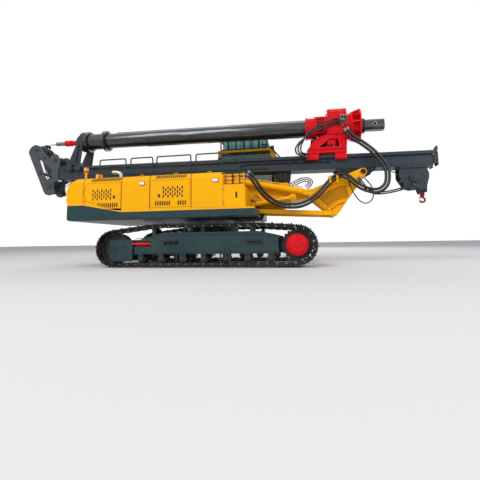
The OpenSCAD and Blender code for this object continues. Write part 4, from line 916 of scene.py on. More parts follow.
def hood_details():
    """Latches, side lamps, panel seams drawn in painted shadow, lifting eyes, filler caps and the roof's
    grille.
    """
    for name, body, x, z in (("rear", body_of_node["hood_door_rear"], -1.872, 1.505),
                             ("front", body_of_node["hood_door_front"], -0.842, 1.490),
                             ("box", "upper", 0.812, 1.450)):
        f = Form("latch_" + name, body)
        w, h = (0.020, 0.062) if name == "box" else (0.028, 0.034)
        f.plate([(x - w, z - h), (x + w, z - h), (x + w, z + h), (x - w, z + h)], -1.253, -1.2495, black)
        f.plate([(x - w * 0.6, z - h * 0.7), (x + w * 0.4, z - h * 0.7), (x + w * 0.4, z + h * 0.7),
                 (x - w * 0.6, z + h * 0.7)], -1.258, -1.2525, fixing if name != "box" else black)
        f.turned([(0, 0.007), (0.004, 0.007)], (x + w * 0.7, -1.2525, z), (0, -1, 0), fixing, 16)
        f.made(0.001, 1)
    f = Form("hood_fittings", "upper")
    for x, z in ((-1.225, 1.770), (0.380, 1.765)):
        for side in (-1, 1):
            f.block((x - 0.062, side * 1.250 - 0.010, z - 0.036),
                    (x + 0.062, side * 1.250 + 0.010, z + 0.036), black)
            f.block((x - 0.055, side * 1.262 - 0.012, z - 0.030),
                    (x + 0.055, side * 1.262 + 0.012, z + 0.030), lamp_glass)
    f.block((-2.372, -1.165, 1.937), (-2.262, -1.075, 2.040), yellow)
    for x in (-2.355, -2.279):
        f.bolt((x, -1.120, 2.040), (0, 0, 1), 0.008)
    # Dark rings of painted shadow in the panel seams at the doors' edges.
    for x in (-2.604, -1.700, -1.052, -0.137):
        low = skirt_height(x) + 0.002
        seam = [(-1.2510, low), (-1.2510, 1.8455), (-1.1905, 1.9410), (1.1905, 1.9410),
                (1.2510, 1.8455), (1.2510, low)]
        inner = [(y * 0.996, min(z, 1.937)) for y, z in reversed(seam)]
        f.prism([(x - 0.007, y, z) for y, z in seam + inner], (0.013, 0, 0), painted_shadow)
    for x in (-1.35, -0.55, 0.20):
        for side in (-1, 1):
            f.tube([(x - 0.05, side * 1.02, 1.935), (x - 0.045, side * 1.02, 1.985), (x, side * 1.02, 2.005),
                    (x + 0.045, side * 1.02, 1.985), (x + 0.05, side * 1.02, 1.935)], 0.009, yellow, 8)
    for x, y in ((-2.2, 0.45), (-1.3, -0.2), (-0.6, 0.6)):
        f.turned([(-0.002, 0.085), (0.014, 0.085), (0.020, 0.078)], (x, y, HOOD_TOP), (0, 0, 1), yellow, 40)
        f.turned([(0.018, 0.030), (0.040, 0.026)], (x, y, HOOD_TOP), (0, 0, 1), black, 24)
    f.block((-1.55, -0.62, HOOD_TOP - 0.002), (-0.75, -0.30, HOOD_TOP + 0.018), yellow)
    for i in range(16):
        f.block((-1.53 + i * 0.048, -0.60, HOOD_TOP + 0.017),
                (-1.51 + i * 0.048, -0.32, HOOD_TOP + 0.024), black)
    for i in range(24):
        f.bolt((-2.95 + i * 0.104, -1.205, 1.922), (0, -0.53, 0.85), 0.007, yellow, washer=False)
    f.made(0.0012, 1)


def counterweight_details():
    """Tail lamps, towing eye and lifting lugs of the counterweight, its seam drawn in painted shadow, and
    seams and bolts along the deck.
    """
    f = Form("counterweight_fittings", "upper")
    for side in (-1, 1):
        r = 0.036
        for z, look in ((1.30, lens_red), (1.20, lamp_glass)):
            f.turned([(-0.004, 0.046), (0.014, 0.046), (0.018, 0.040)], (-3.018, side * 0.98, z),
                     (-1, 0, 0), black, 32)
            f.turned([(0.012, r), (0.020, r), (0.026, r * 0.7)], (-3.018, side * 0.98, z),
                     (-1, 0, 0), look, 32)
        f.block((-3.024, side * 0.62 - 0.11, 1.16), (-3.010, side * 0.62 + 0.11, 1.34), shoes)
        f.tube([(-2.80, side * 0.82, 1.40), (-2.80, side * 0.82, 1.47), (-2.74, side * 0.82, 1.50),
                (-2.68, side * 0.82, 1.47), (-2.68, side * 0.82, 1.40)], 0.014, teal, 10)
    f.block((-3.030, -0.25, 1.09), (-3.012, 0.25, 1.37), teal)
    for y in (-0.22, 0.22):
        for z in (1.12, 1.34):
            f.bolt((-3.030, y, z), (-1, 0, 0), 0.014)
    f.plate([(-3.070, 1.085), (-3.012, 1.06), (-3.012, 1.16), (-3.070, 1.135)], -0.03, 0.03, black)
    for side in (-1, 1):
        # A thin dark strip of painted shadow in the seam where the counterweight meets the hood.
        f.plate([(-2.6055, 1.012), (-2.6055, 1.412), (-2.6035, 1.412), (-2.6035, 1.012)], side * 1.2515,
                side * 1.2480, painted_shadow)
        f.block((-2.60, side * 1.246 - 0.006, 1.010), (1.14, side * 1.246 + 0.006, 1.022), black)
        for i in range(18):
            x = -2.45 + i * 0.205
            f.bolt((x, side * 1.2495, min(skirt_height(x) - 0.045, 1.17)), (0, side, 0), 0.008,
                   teal, washer=False)
        for x in (-1.40, 0.05):
            f.block((x - 0.18, side * 1.2505 - 0.006, 1.05), (x + 0.18, side * 1.2505 + 0.004, 1.155), teal)
            for dx in (-0.15, 0.15):
                f.bolt((x + dx, side * 1.254, 1.10), (0, side, 0), 0.009)
    f.made(0.0015, 1, slot="teal_paint")


def side_boxes():
    """The valve box with its rounded corner, the tank's cap and straps, and the grab rail."""
    round_off = Form("corner", None)
    r = 0.075
    at = Vector((0.994 - r, 1.667 - r))
    edge = [(p.x, p.y) for p in arc_points(at, r, 0, 90, 8)]
    round_off.plate(edge + [(at.x, 1.70), (1.03, 1.70), (1.03, at.y)], -1.30, 1.30, yellow)
    dressed("valve_box", yellow, 0.006, 2, round_off)
    f = Form("side_box_fittings", "upper")
    # A thin dark strip of painted shadow in the joint before the tank's door.
    f.plate([(0.532, 1.21), (0.535, 1.21), (0.535, 1.665), (0.532, 1.665)], -1.2512, -1.247, painted_shadow)
    f.plate([(0.556, 1.235), (0.970, 1.235), (0.970, 1.600), (0.930, 1.640), (0.556, 1.640)], -1.2525,
            -1.2490, yellow)
    for z in (1.30, 1.58):
        f.rod((0.552, -1.258, z - 0.03), (0.552, -1.258, z + 0.03), 0.008, zinc, 12)
    f.turned([(-0.002, 0.060), (0.020, 0.060), (0.028, 0.050)], (0.20, -0.85, HOOD_TOP), (0, 0, 1), black, 36)
    f.turned([(0.026, 0.016), (0.040, 0.012)], (0.20, -0.85, HOOD_TOP), (0, 0, 1), zinc, 16)
    for x in (-0.02, 0.44):
        f.block((x - 0.02, -1.10, HOOD_TOP - 0.001), (x + 0.02, -0.60, HOOD_TOP + 0.010), yellow)
        for y in (-1.06, -0.64):
            f.bolt((x, y, HOOD_TOP + 0.010), (0, 0, 1), 0.009)
    f.made(0.0015, 1)
    rail = Form("grab_rail", "upper")
    y = -1.215
    rail.tube([(0.520, y, 1.66), (0.520, y, 2.16), (0.524, y, 2.275), (0.560, y, 2.304), (0.640, y, 2.285),
               (0.845, y, 2.150), (0.876, y, 2.105), (0.880, y, 1.95), (0.880, y, 1.655)],
              0.0135, rail_green, 10)
    for x in (0.520, 0.880):
        rail.block((x - 0.030, -1.245, 1.655), (x + 0.030, -1.185, 1.672), rail_green)
        rail.bolt((x + 0.018, -1.200, 1.672), (0, 0, 1), 0.006)
    rail.made(slot=slot_of_node["handrails"])


RAIL_SPANS = ((-2.281, -1.660), (-1.540, -1.032), (-0.936, -0.175))
TANK_RAIL_SPAN = (-0.060, 0.495)
RAIL_Y = 1.160
RAIL_TOP = 2.354
RAIL_BEND = 0.045
MIDDLE_BAR = 2.150


def railings():
    """Bent tube railings over the hood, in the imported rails' places, and one more over the tank."""
    f = Form("handrails_looks", "upper")
    for side in (-1, 1):
        y = side * RAIL_Y
        for x0, x1 in RAIL_SPANS if side > 0 else (*RAIL_SPANS, TANK_RAIL_SPAN):
            f.tube([(x0, y, 1.93), (x0, y, 2.20), (x0, y, RAIL_TOP - RAIL_BEND),
                    (x0 + 0.013, y, RAIL_TOP - 0.013), (x0 + RAIL_BEND, y, RAIL_TOP),
                    ((x0 + x1) / 2, y, RAIL_TOP), (x1 - RAIL_BEND, y, RAIL_TOP),
                    (x1 - 0.013, y, RAIL_TOP - 0.013), (x1, y, RAIL_TOP - RAIL_BEND), (x1, y, 2.20),
                    (x1, y, 1.93)], 0.0145, rail_green, 10)
            f.rod((x0, y, MIDDLE_BAR), (x1, y, MIDDLE_BAR), 0.009, rail_green, 10)
            for x in (x0, x1):
                f.block((x - 0.032, y - 0.032, HOOD_TOP - 0.001),
                        (x + 0.032, y + 0.032, HOOD_TOP + 0.010), rail_green)
                for d in (-0.021, 0.021):
                    f.bolt((x + d, y + d, HOOD_TOP + 0.010), (0, 0, 1), 0.006)
    f.made(slot=slot_of_node["handrails"], replaces=("handrails",))


def beacon_and_exhaust():
    """The warning light on its stalk and the bent exhaust pipe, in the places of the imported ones."""
    f = Form("beacon_looks", "upper")
    at = (-2.665, -1.090, 0)
    f.turned([(HOOD_TOP - 0.002, 0.050), (HOOD_TOP + 0.008, 0.050), (HOOD_TOP + 0.010, 0.024),
              (2.085, 0.024), (2.090, 0.040), (2.104, 0.048), (2.112, 0.048)], at, (0, 0, 1), yellow, 28)
    f.turned([(2.112, 0.060), (2.126, 0.062), (2.130, 0.056)], at, (0, 0, 1), black, 32)
    f.turned([(2.128, 0.055), (2.150, 0.056), (2.190, 0.052), (2.214, 0.040), (2.222, 0.020)], at,
             (0, 0, 1), amber, 32)
    f.tube([(-2.665, -1.064, 2.09), (-2.655, -1.050, 2.03), (-2.659, -1.052, 1.97),
            (-2.667, -1.045, 1.935)], 0.005, hose_black, 6)
    f.made(slot=slot_of_node["beacon"], replaces=("beacon",))
    e = Form("exhaust_looks", "upper")
    e.turned([(-0.002, 0.085), (0.012, 0.085), (0.016, 0.070)], (-2.030, -0.700, HOOD_TOP),
             (0, 0, 1), silver, 36)
    e.tube([(-2.030, -0.700, 1.93), (-2.030, -0.700, 2.02), (-2.032, -0.700, 2.08), (-2.052, -0.700, 2.125),
            (-2.095, -0.700, 2.152), (-2.160, -0.700, 2.164), (-2.242, -0.700, 2.170)], 0.046, silver, 24, 5)
    # A dark disc of painted shadow inside the pipe's mouth.
    e.turned([(0, 0.041), (0.004, 0.041)], (-2.242, -0.700, 2.170), (-1, 0, 0.07), painted_shadow, 24)
    e.turned([(0, 0.054), (0.030, 0.054)], (-2.030, -0.700, 2.005), (0, 0, 1), zinc, 28)
    e.bolt((-1.972, -0.700, 2.020), (1, 0, 0), 0.008)
    e.made(0.001, 1, slot=slot_of_node["exhaust"], replaces=("exhaust",))


def pipe_fittings():
    """Unions and clamps of the three hard pipes."""
    f = Form("hard_pipe_fittings", "upper")
    for i in range(3):
        z = 1.885 - 0.080 * i
        for x in (0.56, 0.925):
            f.turned([(0, 0.034), (0.030, 0.034), (0.034, 0.030)], (x, -1.100, z), (1, 0, 0), zinc, 6)
        f.turned([(0, 0.029), (0.020, 0.029)], (0.96, -1.100, z), (1, 0, 0), zinc, 20)
        f.block((0.70, -1.135, z - 0.034), (0.735, -1.065, z + 0.034), black)
        f.bolt((0.7175, -1.135, z), (0, -1, 0), 0.008)
    f.made(0.0012, 1)


# Cab

def window_seals():
    """A rubber seal round each pane of the cab."""
    f = Form("window_seals", "upper")
    work = bmesh.new()
    work.from_mesh(frame["nodes"]["cab_glass"].data)
    bmesh.ops.remove_doubles(work, verts=work.verts, dist=1e-5)
    bmesh.ops.dissolve_limit(work, angle_limit=math.radians(1), verts=work.verts, edges=work.edges)
    for face in work.faces:
        if face.calc_area() > 0.03:
            ring = [v.co.copy() for v in face.verts]
            for a, b in zip(ring, ring[1:] + ring[:1]):
                f.rod(a, b, 0.011, seal_black, 8)
    work.free()
    f.made()


def cab_details():
    """Trim, bent roof rails, work lamps, wiper, mirror, hand bar and step of the cab."""
    y0, y1 = CAB_RIGHT, CAB_LEFT
    g = Form("cab_fittings", "upper")
    g.plate([(0.10, 2.725), (0.10, 2.796), (1.345, 2.796), (1.420, 2.725)], y0 - 0.005, y0 + 0.004, black)
    g.plate([(0.014, 1.30), (0.014, 2.66), (0.095, 2.72), (0.095, 1.30)], y0 - 0.005, y0 + 0.004, black)
    g.plate([(0.016, 2.800), (0.016, 2.858), (1.395, 2.858), (1.440, 2.842), (1.470, 2.800)], y0 - 0.006,
            y0 + 0.03, yellow)
    g.plate([(0.016, 2.800), (0.016, 2.858), (1.395, 2.858), (1.440, 2.842), (1.470, 2.800)], y1 - 0.03,
            y1 + 0.006, yellow)
    for y in (y0 - 0.01, y1 + 0.01):
        g.tube([(1.17, y, 2.955), (1.27, y, 2.940), (1.37, y, 2.880), (1.45, y, 2.800), (1.56, y, 2.675),
                (1.62, y, 2.600)], 0.016, black, 10)
    for y in (0.62, 1.10):
        g.block((1.385, y - 0.06, 2.862), (1.470, y + 0.06, 2.940), black)
        g.block((1.466, y - 0.052, 2.870), (1.474, y + 0.052, 2.932), lamp_glass)
    g.rod((1.805, 0.86, 2.250), (1.835, 0.86, 2.250), 0.022, black, 16)
    g.tube([(1.834, 0.86, 2.25), (1.760, 0.95, 2.37), (1.640, 1.08, 2.52)], 0.007, black, 8)
    g.rod((1.690, 1.02, 2.485), (1.600, 1.13, 2.58), 0.006, seal_black, 8)
    y = 1.218
    g.tube([(1.62, y1 - 0.02, 2.45), (1.70, y1 + 0.02, 2.47), (1.72, y, 2.42), (1.72, y, 2.20)],
           0.009, black, 8)
    g.block((1.700, y - 0.075, 2.15), (1.728, y + 0.075, 2.40), black)
    g.block((1.697, y - 0.068, 2.157), (1.701, y + 0.068, 2.393), chrome)
    g.rod((1.42, y1 + 0.028, 1.75), (1.42, y1 + 0.028, 2.35), 0.012, black, 12)
    for z in (1.76, 2.34):
        g.rod((1.42, y1 - 0.005, z), (1.42, y1 + 0.028, z), 0.010, black, 10)
    g.block((0.60, y1 + 0.001, 1.215), (1.35, y1 + 0.045, 1.235), black)
    for i in range(9):
        g.block((0.63 + i * 0.08, y1 + 0.005, 1.234), (0.66 + i * 0.08, y1 + 0.042, 1.240), zinc)
    g.made(0.0015, 1)


def cab_door_details():
    """The door's handle and the seal round its window."""
    y1 = CAB_LEFT
    d = Form("cab_door_fittings", body_of_node["cab_door"])
    d.block((1.335, y1 - 0.002, 1.80), (1.405, y1 + 0.010, 1.88), black)
    d.tube([(1.34, y1 + 0.008, 1.845), (1.35, y1 + 0.034, 1.845), (1.39, y1 + 0.034, 1.845),
            (1.40, y1 + 0.008, 1.845)], 0.007, zinc, 8)
    rim = [(0.620, 1.89), (0.620, 2.67), (1.250, 2.67), (1.360, 2.36), (1.360, 1.89)]
    for (x0, z0), (x1, z1) in zip(rim, rim[1:] + rim[:1]):
        d.rod((x0, y1 - 0.001, z0), (x1, y1 - 0.001, z1), 0.009, seal_black, 8)
    d.made(0.001, 1)


def cab_controls():
    """Levers, switches, pedals, screen and headrest."""
    s = Form("cab_controls", "upper")
    for y in (0.57, 1.15):
        s.tube([(0.86, y, 1.855), (0.872, y, 1.93), (0.868, y, 1.99)], 0.011, grip, 8)
        s.turned([(0, 0.020), (0.03, 0.027), (0.085, 0.024), (0.10, 0.014)], (0.868, y, 1.965),
                 (-0.05, 0, 1), grip, 16)
        s.turned([(0, 0.036), (0.02, 0.026), (0.05, 0.014)], (0.86, y, 1.855), (0, 0, 1), seal_black, 16)
        for i in range(4):
            s.block((0.60 + i * 0.05, y - 0.02, 1.858), (0.63 + i * 0.05, y + 0.02, 1.866), zinc)
    for y in (0.78, 0.93):
        s.plate([(1.50, 1.31), (1.60, 1.42), (1.62, 1.41), (1.52, 1.30)], y - 0.045, y + 0.045, black)
        s.tube([(1.55, y, 1.36), (1.53, y, 1.55), (1.49, y, 1.72)], 0.010, black, 8)
        s.turned([(0, 0.018), (0.05, 0.022)], (1.49, y, 1.71), (-0.1, 0, 1), grip, 14)
    s.block((1.40, 0.53, 1.95), (1.44, 0.80, 2.15), black)
    s.block((1.394, 0.545, 1.965), (1.401, 0.785, 2.135), screen_glow)
    s.tube([(1.42, 0.66, 1.30), (1.43, 0.66, 1.60), (1.42, 0.66, 1.96)], 0.014, black, 10)
    s.plate([(0.325, 2.35), (0.360, 2.35), (0.345, 2.56), (0.315, 2.56)], 0.76, 0.96, vinyl)
    s.made(0.003, 1)


def roof_guard_details():
    """The panes and bars of the guard over the cab's roof."""
    y0, y1 = CAB_RIGHT, CAB_LEFT
    guard = Form("guard_panes", "upper")
    for y in (y0 + 0.030, y1 - 0.040):
        for i in range(10):
            x = 0.165 + i * 0.114
            guard.block((x, y, 2.892), (x + 0.100, y + 0.006, 3.105), guard_pane)
    guard.made(slot=slot_of_node["roof_guard"])
    bars = Form("guard_fittings", "upper")
    for y in (y0 + 0.032, y1 - 0.032):
        for i in range(11):
            x = 0.158 + i * 0.114
            bars.block((x - 0.006, y - 0.010, 2.880), (x + 0.006, y + 0.010, 3.115), rail_green)
    for x in (0.10, 0.70, 1.28):
        for y in (y0 + 0.035, y1 - 0.040):
            bars.bolt((x, y, 3.148), (0, 0, 1), 0.007)
    bars.made(0.001, 1, slot=slot_of_node["roof_guard"])


# Boom group

def pin_cap(f, at, side, r, finish, bolts=4, bolt_r=0.008):
    """A pin's cap plate with its bolts; at is the middle of its inner face."""
    thick = 0.014
    out = (0, side, 0)
    f.turned([(-0.002, r), (thick * 0.7, r), (thick, r - 0.006)], at, out, finish, 36)
    for k in range(bolts):
        a = 2 * math.pi * (k + 0.5) / bolts
        f.bolt((at[0] + math.cos(a) * r * 0.62, at[1] + side * thick,
                at[2] + math.sin(a) * r * 0.62), out, bolt_r)
    return f


def cylinder_looks(name, node, foot, head, y, r, start, end):
    """Gland, bands and hard line of a pair of barrels that reach from start to end along their axes."""
    body = body_of_node[node]
    for side in (-1, 1):
        f = Form(name + "_" + hand(side), body)
        a, b = Vector((foot.x, side * y, foot.y)), Vector((head.x, side * y, head.y))
        along = (b - a).normalized()
        up = Vector((0, 1, 0)).cross(along)
        up = up if up.z > 0 else -up
        f.turned([(end - 0.075, r + 0.001), (end - 0.072, r + 0.009), (end - 0.004, r + 0.009),
                  (end + 0.002, r - 0.006)], a, along, yellow, 40)
        f.bolt_ring(a + along * (end + 0.001), along, r * 0.80, 8, 0.006, zinc)
        f.turned([(start + 0.010, r + 0.001), (start + 0.014, r + 0.006), (start + 0.030, r + 0.006),
                  (start + 0.034, r + 0.001)], a, along, yellow, 40)
        hard_line = ((start + 0.05, r - 0.01), (start + 0.05, r + 0.022), (start + 0.10, r + 0.028),
                     (end * 0.55, r + 0.028), (end - 0.13, r + 0.028), (end - 0.085, r + 0.016),
                     (end - 0.080, r - 0.005))
        f.tube([a + along * d + up * h for d, h in hard_line], 0.010, yellow, 8)
        for d in (start + 0.12, end * 0.5, end - 0.16):
            p = a + along * d
            f.turned([(-0.012, r + 0.003), (-0.012, r + 0.0045), (0.012, r + 0.0045), (0.012, r + 0.003)],
                     p, along, yellow, 40)
            f.turned([(0.0, 0.013), (0.036, 0.013)], p + up * (r - 0.004), up, fixing, 8)
        f.made(0.0012, 1)


def cylinder_details():
    """Fittings of the boom's lift cylinders and the mast's fold cylinders, and the lift rods' eyes."""
    cylinder_looks("lift_barrel_fittings", "lift_barrels", LIFT_FOOT, LIFT_HEAD, CYLINDER_Y, 0.052, 0.080,
                   (LIFT_HEAD - LIFT_FOOT).length - 0.170)
    fold_eye = MAST @ Vector((FOLD_EYE[0], 0, FOLD_EYE[1]))
    fold_head = Vector((fold_eye.x, fold_eye.z))
    cylinder_looks("fold_barrel_fittings", "fold_barrels", BOOM_HEAD, fold_head, CYLINDER_Y, 0.072, 0.180,
                   (fold_head - BOOM_HEAD).length - 0.200)
    rods = Form("lift_rod_heads", body_of_node["lift_rods"])
    for side in (-1, 1):
        rods.turned([(-0.058, 0.070), (-0.056, 0.0795), (0.0, 0.0795), (0.002, 0.072)],
                    (LIFT_HEAD.x, side * LIFT_EYE_Y, LIFT_HEAD.y), (0, side, 0), yellow, 48)
        a = Vector((LIFT_HEAD.x, side * CYLINDER_Y, LIFT_HEAD.y))
        back = Vector((LIFT_FOOT.x, side * CYLINDER_Y, LIFT_FOOT.y)) - a
        rods.turned([(0.05, 0.052), (0.135, 0.046), (0.140, 0.040)], a, back, yellow, 32)
    rods.made(0.002, 2, slot=slot_of_node["lift_barrels"])


def boom_details():
    """Pin caps, side strips, a bolted pad and the hose bows of the boom."""
    f = Form("boom_pin_caps", body_of_node["boom"])
    for side in (-1, 1):
        f.turned([(-0.01, 0.052), (0.012, 0.052), (0.022, 0.040)],
                 (LIFT_HEAD.x, side * LIFT_EYE_Y, LIFT_HEAD.y), (0, side, 0), yellow, 36)
        f.bolt((LIFT_HEAD.x, side * 0.416, LIFT_HEAD.y), (0, side, 0), 0.012)
        pin_cap(f, (BOOM_FOOT.x, side * 0.331, BOOM_FOOT.y), side, 0.085, yellow)
        pin_cap(f, (BOOM_HEAD.x, side * 0.396, BOOM_HEAD.y), side, 0.070, yellow)
        f.plate([(1.10, 1.60), (1.95, 1.555), (1.95, 1.540), (1.10, 1.585)], side * 0.2395,
                side * 0.248, yellow)
        f.plate([(1.50, 1.40), (2.20, 1.50), (2.20, 1.488), (1.50, 1.388)], side * 0.2395,
                side * 0.248, yellow)
    for y in (-0.09, 0.09):
        for x in (1.66, 1.78):
            f.bolt((x, y, 1.8415), (0, 0, 1), 0.010)
    f.block((1.635, -0.118, 1.838), (1.805, 0.118, 1.8425), seal_black)
    for x in (0.95, 1.35):
        f.tube([(x, -0.235, 1.80), (x, -0.20, 1.86), (x + 0.09, -0.20, 1.86), (x + 0.09, -0.235, 1.79)],
               0.011, yellow, 8)
    f.made(0.0015, 1)


def link_details():
    """Pin caps where the links and the lift cylinders stand on the upper body."""
    g = Form("link_pin_caps", "upper")
    for side in (-1, 1):
        pin_cap(g, (LINK_FOOT.x, side * LINK_CAP_Y, LINK_FOOT.y), side, 0.052, yellow, 2, 0.006)
        pin_cap(g, (LIFT_FOOT.x, side * LINK_CAP_Y, LIFT_FOOT.y), side, 0.052, yellow, 2, 0.006)
    g.made(0.0012, 1)


def triangle_details():
    """Curved ribs, a darker plate of painted shade in the recess between them, and pin bosses of the triangle
    frame.
    """
    t = Form("triangle_fittings", body_of_node["triangle_frame"])
    upper_rib = [(2.450, 1.400), (2.629, 1.528), (2.813, 1.620), (2.963, 1.673), (3.150, 1.697)]
    lower_rib = [(2.625, 1.195), (2.801, 1.334), (2.972, 1.416), (3.120, 1.455)]
    last_rib = [(2.720, 1.170), (2.882, 1.277), (3.030, 1.322)]
    for side in (-1, 1):
        y = side * TRIANGLE_Y
        for rib in (upper_rib, lower_rib, last_rib):
            line = smooth_line([(x, y, z) for x, z in rib], 6)
            for p, q in zip(line, line[1:]):
                t.plate(slot_outline((p.x, p.z), (q.x, q.z), 0.015), y - side * 0.002,
                        y + side * 0.030, yellow)
        for a, b in (((2.36, 1.49), (2.75, 1.12)), ((3.40, 1.91), (2.90, 1.12))):
            a, b = Vector(a), Vector(b)
            t.plate(slot_outline(a, b, 0.014), y - side * 0.002, y + side * 0.024, yellow)
        pin_cap(t, (LINK_HEAD.x, side * LINK_CAP_Y, LINK_HEAD.y), side, 0.052, yellow, 2, 0.006)
        t.turned([(-0.002, 0.076), (0.010, 0.076), (0.016, 0.070)], (MAST_PIVOT.x, y, MAST_PIVOT.y),
                 (0, side, 0), yellow, 48)
        t.turned([(-0.002, 0.070), (0.006, 0.070)], (BOOM_HEAD.x, y, BOOM_HEAD.y), (0, side, 0), yellow, 40)
    field = [p.to_tuple() for p in smooth_line([(x, 0, z) for x, z in upper_rib], 6)][2:-3]
    field += [p.to_tuple() for p in smooth_line([(x, 0, z) for x, z in lower_rib], 6)][::-1]
    # A darker plate between the ribs: painted shade in the recess, not a different paint.
    t.plate([(x, z) for x, _, z in field], -TRIANGLE_Y - 0.006, -TRIANGLE_Y + 0.002, recess_painted_shade)
    for x, z in ((2.56, 1.42), (2.66, 1.30), (2.80, 1.58), (2.88, 1.41), (3.06, 1.66), (3.10, 1.49)):
        t.turned([(0, 0.007), (0.003, 0.005)], (x, -TRIANGLE_Y - 0.006, z), (0, -1, 0), fixing, 10)
    for x in (2.725, 2.875):
        t.block((x - 0.018, -0.505, 1.735), (x + 0.018, -0.415, 1.893), yellow)
        t.bolt((x, -0.505, 1.815), (0, -1, 0), 0.010)
    t.made(0.0018, 1)


# Mast

def mast_details():
    """Bolts, strips, foot plates, cables and pin caps of the mast."""
    f = on_mast("mast_fittings", "mast_beam")
    for side in (-1, 1):
        out = (0, side, 0)
        for i in range(44):
            x = -7.45 + i * 0.20
            f.bolt((x, side * 0.230, 0.4195), (0, 0, 1), 0.010, black, washer=False)
        for x in (-6.2, -4.6, -2.9, -1.2, 0.42):
            f.block((x - 0.035, side * 0.200 - 0.007, 0.098),
                    (x + 0.035, side * 0.200 + 0.007, 0.300), mast_grey)
        f.block((-7.60, side * 0.200 - 0.010, 0.100), (1.22, side * 0.200 + 0.010, 0.122), mast_grey)
        f.block((1.292, side * 0.150 - 0.075, 0.10), (1.318, side * 0.150 + 0.075, 0.395), mast_grey)
        f.plate([(1.235, 0.420), (1.312, 0.420), (1.312, 0.500), (1.296, 0.515), (1.265, 0.500),
                 (1.235, 0.455)], side * 0.205, side * 0.245, mast_grey)
        f.bolt((1.292, side * 0.245, 0.470), out, 0.012)
        for x in (0.60, 0.80, 1.00):
            f.bolt((x, side * 0.198, 0.135), out, 0.011, black)
    f.tube([(-2.94, -0.206, 0.205), (-2.90, -0.222, 0.270), (-2.60, -0.224, 0.280), (-2.00, -0.224, 0.280),
            (-1.30, -0.224, 0.280), (-0.95, -0.222, 0.276), (-0.91, -0.206, 0.24)], 0.013, black, 8)
    for x in (-2.44, -1.79, -1.57, -1.05):
        f.block((x - 0.016, -0.242, 0.258), (x + 0.016, -0.200, 0.300), cast)
    f.tube([(-6.9, -0.207, 0.17), (-6.0, -0.212, 0.165), (-4.5, -0.212, 0.168), (-3.2, -0.212, 0.165),
            (-2.3, -0.207, 0.17)], 0.008, hose_black, 6)
    for x in (-6.6, -5.7, -4.9, -4.0, -3.4, -2.6):
        f.block((x - 0.010, -0.224, 0.155), (x + 0.010, -0.199, 0.180), cast)
    for i in range(6):
        f.block((-5.9 + i * 0.9, -0.12, 0.3795), (-5.82 + i * 0.9, 0.12, 0.3860), mast_grey)
    for side in (-1, 1):
        for x, z in ((-0.72, 0.055), (-0.52, 0.045), (-0.02, 0.062)):
            f.bolt((x, side * 0.240, z), (0, side, 0), 0.011)
        pin_cap(f, (FOLD_EYE[0], side * 0.2855, FOLD_EYE[1]), side, 0.036, black, 0)
        pin_cap(f, (PIVOT_EYE[0], side * 0.3362, PIVOT_EYE[1]), side, 0.062, black, 4)
    f.made(0.0015, 1)


def head_details():
    """Hubs, rims, holes drawn as discs of painted shadow, and bolts of the mast's head."""
    h = on_mast("head_fittings", "mast_head")
    places = ((*HEAD_SHEAVE, 0.075), (*REAR_SHEAVES, 0.085), (*ROPE_SHEAVE, 0.060), (-8.290, 0.290, 0.055))
    for side in (-1, 1):
        y = side * 0.225
        out = (0, side, 0)
        for x, z, r in places:
            h.turned([(-0.002, r), (0.012, r), (0.016, r - 0.006)], (x, y, z), out, head_grey, 36)
            h.turned([(0.014, r * 0.55), (0.030, r * 0.55), (0.036, r * 0.45)], (x, y, z), out, cast, 24)
            h.bolt_ring((x, y + side * 0.016, z), out, r * 0.78, 6, 0.006, cast)
        rim = [(-8.662, 0.842), (-8.640, 0.934), (-8.574, 1.010), (-8.473, 1.051), (-8.375, 1.022),
               (-8.291, 0.934), (-8.060, 0.646)]
        for a, b in zip(rim, rim[1:]):
            h.plate(slot_outline(a, b, 0.009), y - side * 0.020, y + side * 0.012, head_grey)
        inner = [(-8.360, 0.690), (-8.328, 0.682), (-7.962, 0.372), (-7.946, 0.160), (-8.085, 0.092),
                 (-8.180, 0.240), (-8.360, 0.690)]
        for a, b in zip(inner, inner[1:]):
            h.plate(slot_outline(a, b, 0.008), y - side * 0.020, y + side * 0.010, head_grey)
        # Holes in the side plates, drawn as dark discs of painted shadow.
        for x, z in ((-8.545, 0.930), (-8.405, 0.730), (-8.500, 0.800), (-8.060, -0.160), (-8.130, 0.000)):
            h.turned([(0, 0.020), (0.002, 0.020)], (x, y - side * 0.0005, z), out, painted_shadow, 16)
        for x, z in ((-7.90, 0.33), (-7.80, 0.33), (-7.90, 0.15), (-7.80, 0.15), (-7.85, 0.24)):
            h.bolt((x, y, z), out, 0.012)
        h.turned([(-0.028, 0.038), (0.010, 0.038), (0.014, 0.034), (0.014, 0.0225), (-0.028, 0.0225)],
                 (-8.180, y, 0.690), out, head_grey, 28)
    for x, z in ((-8.60, 0.74), (-8.235, -0.02), (-7.915, -0.255)):
        h.rod((x, -0.203, z), (x, 0.203, z), 0.014, head_grey, 12)
    for y in (-0.05, 0.05):
        h.plate([(-8.36, 1.075), (-8.30, 1.105), (-8.24, 1.060), (-8.27, 0.985)], y - 0.006, y + 0.006, black)
        h.plate([(-7.80, -0.21), (-7.78, -0.16), (-7.735, -0.20), (-7.775, -0.26)], y - 0.006,
                y + 0.006, black)
    h.made(0.0018, 1)


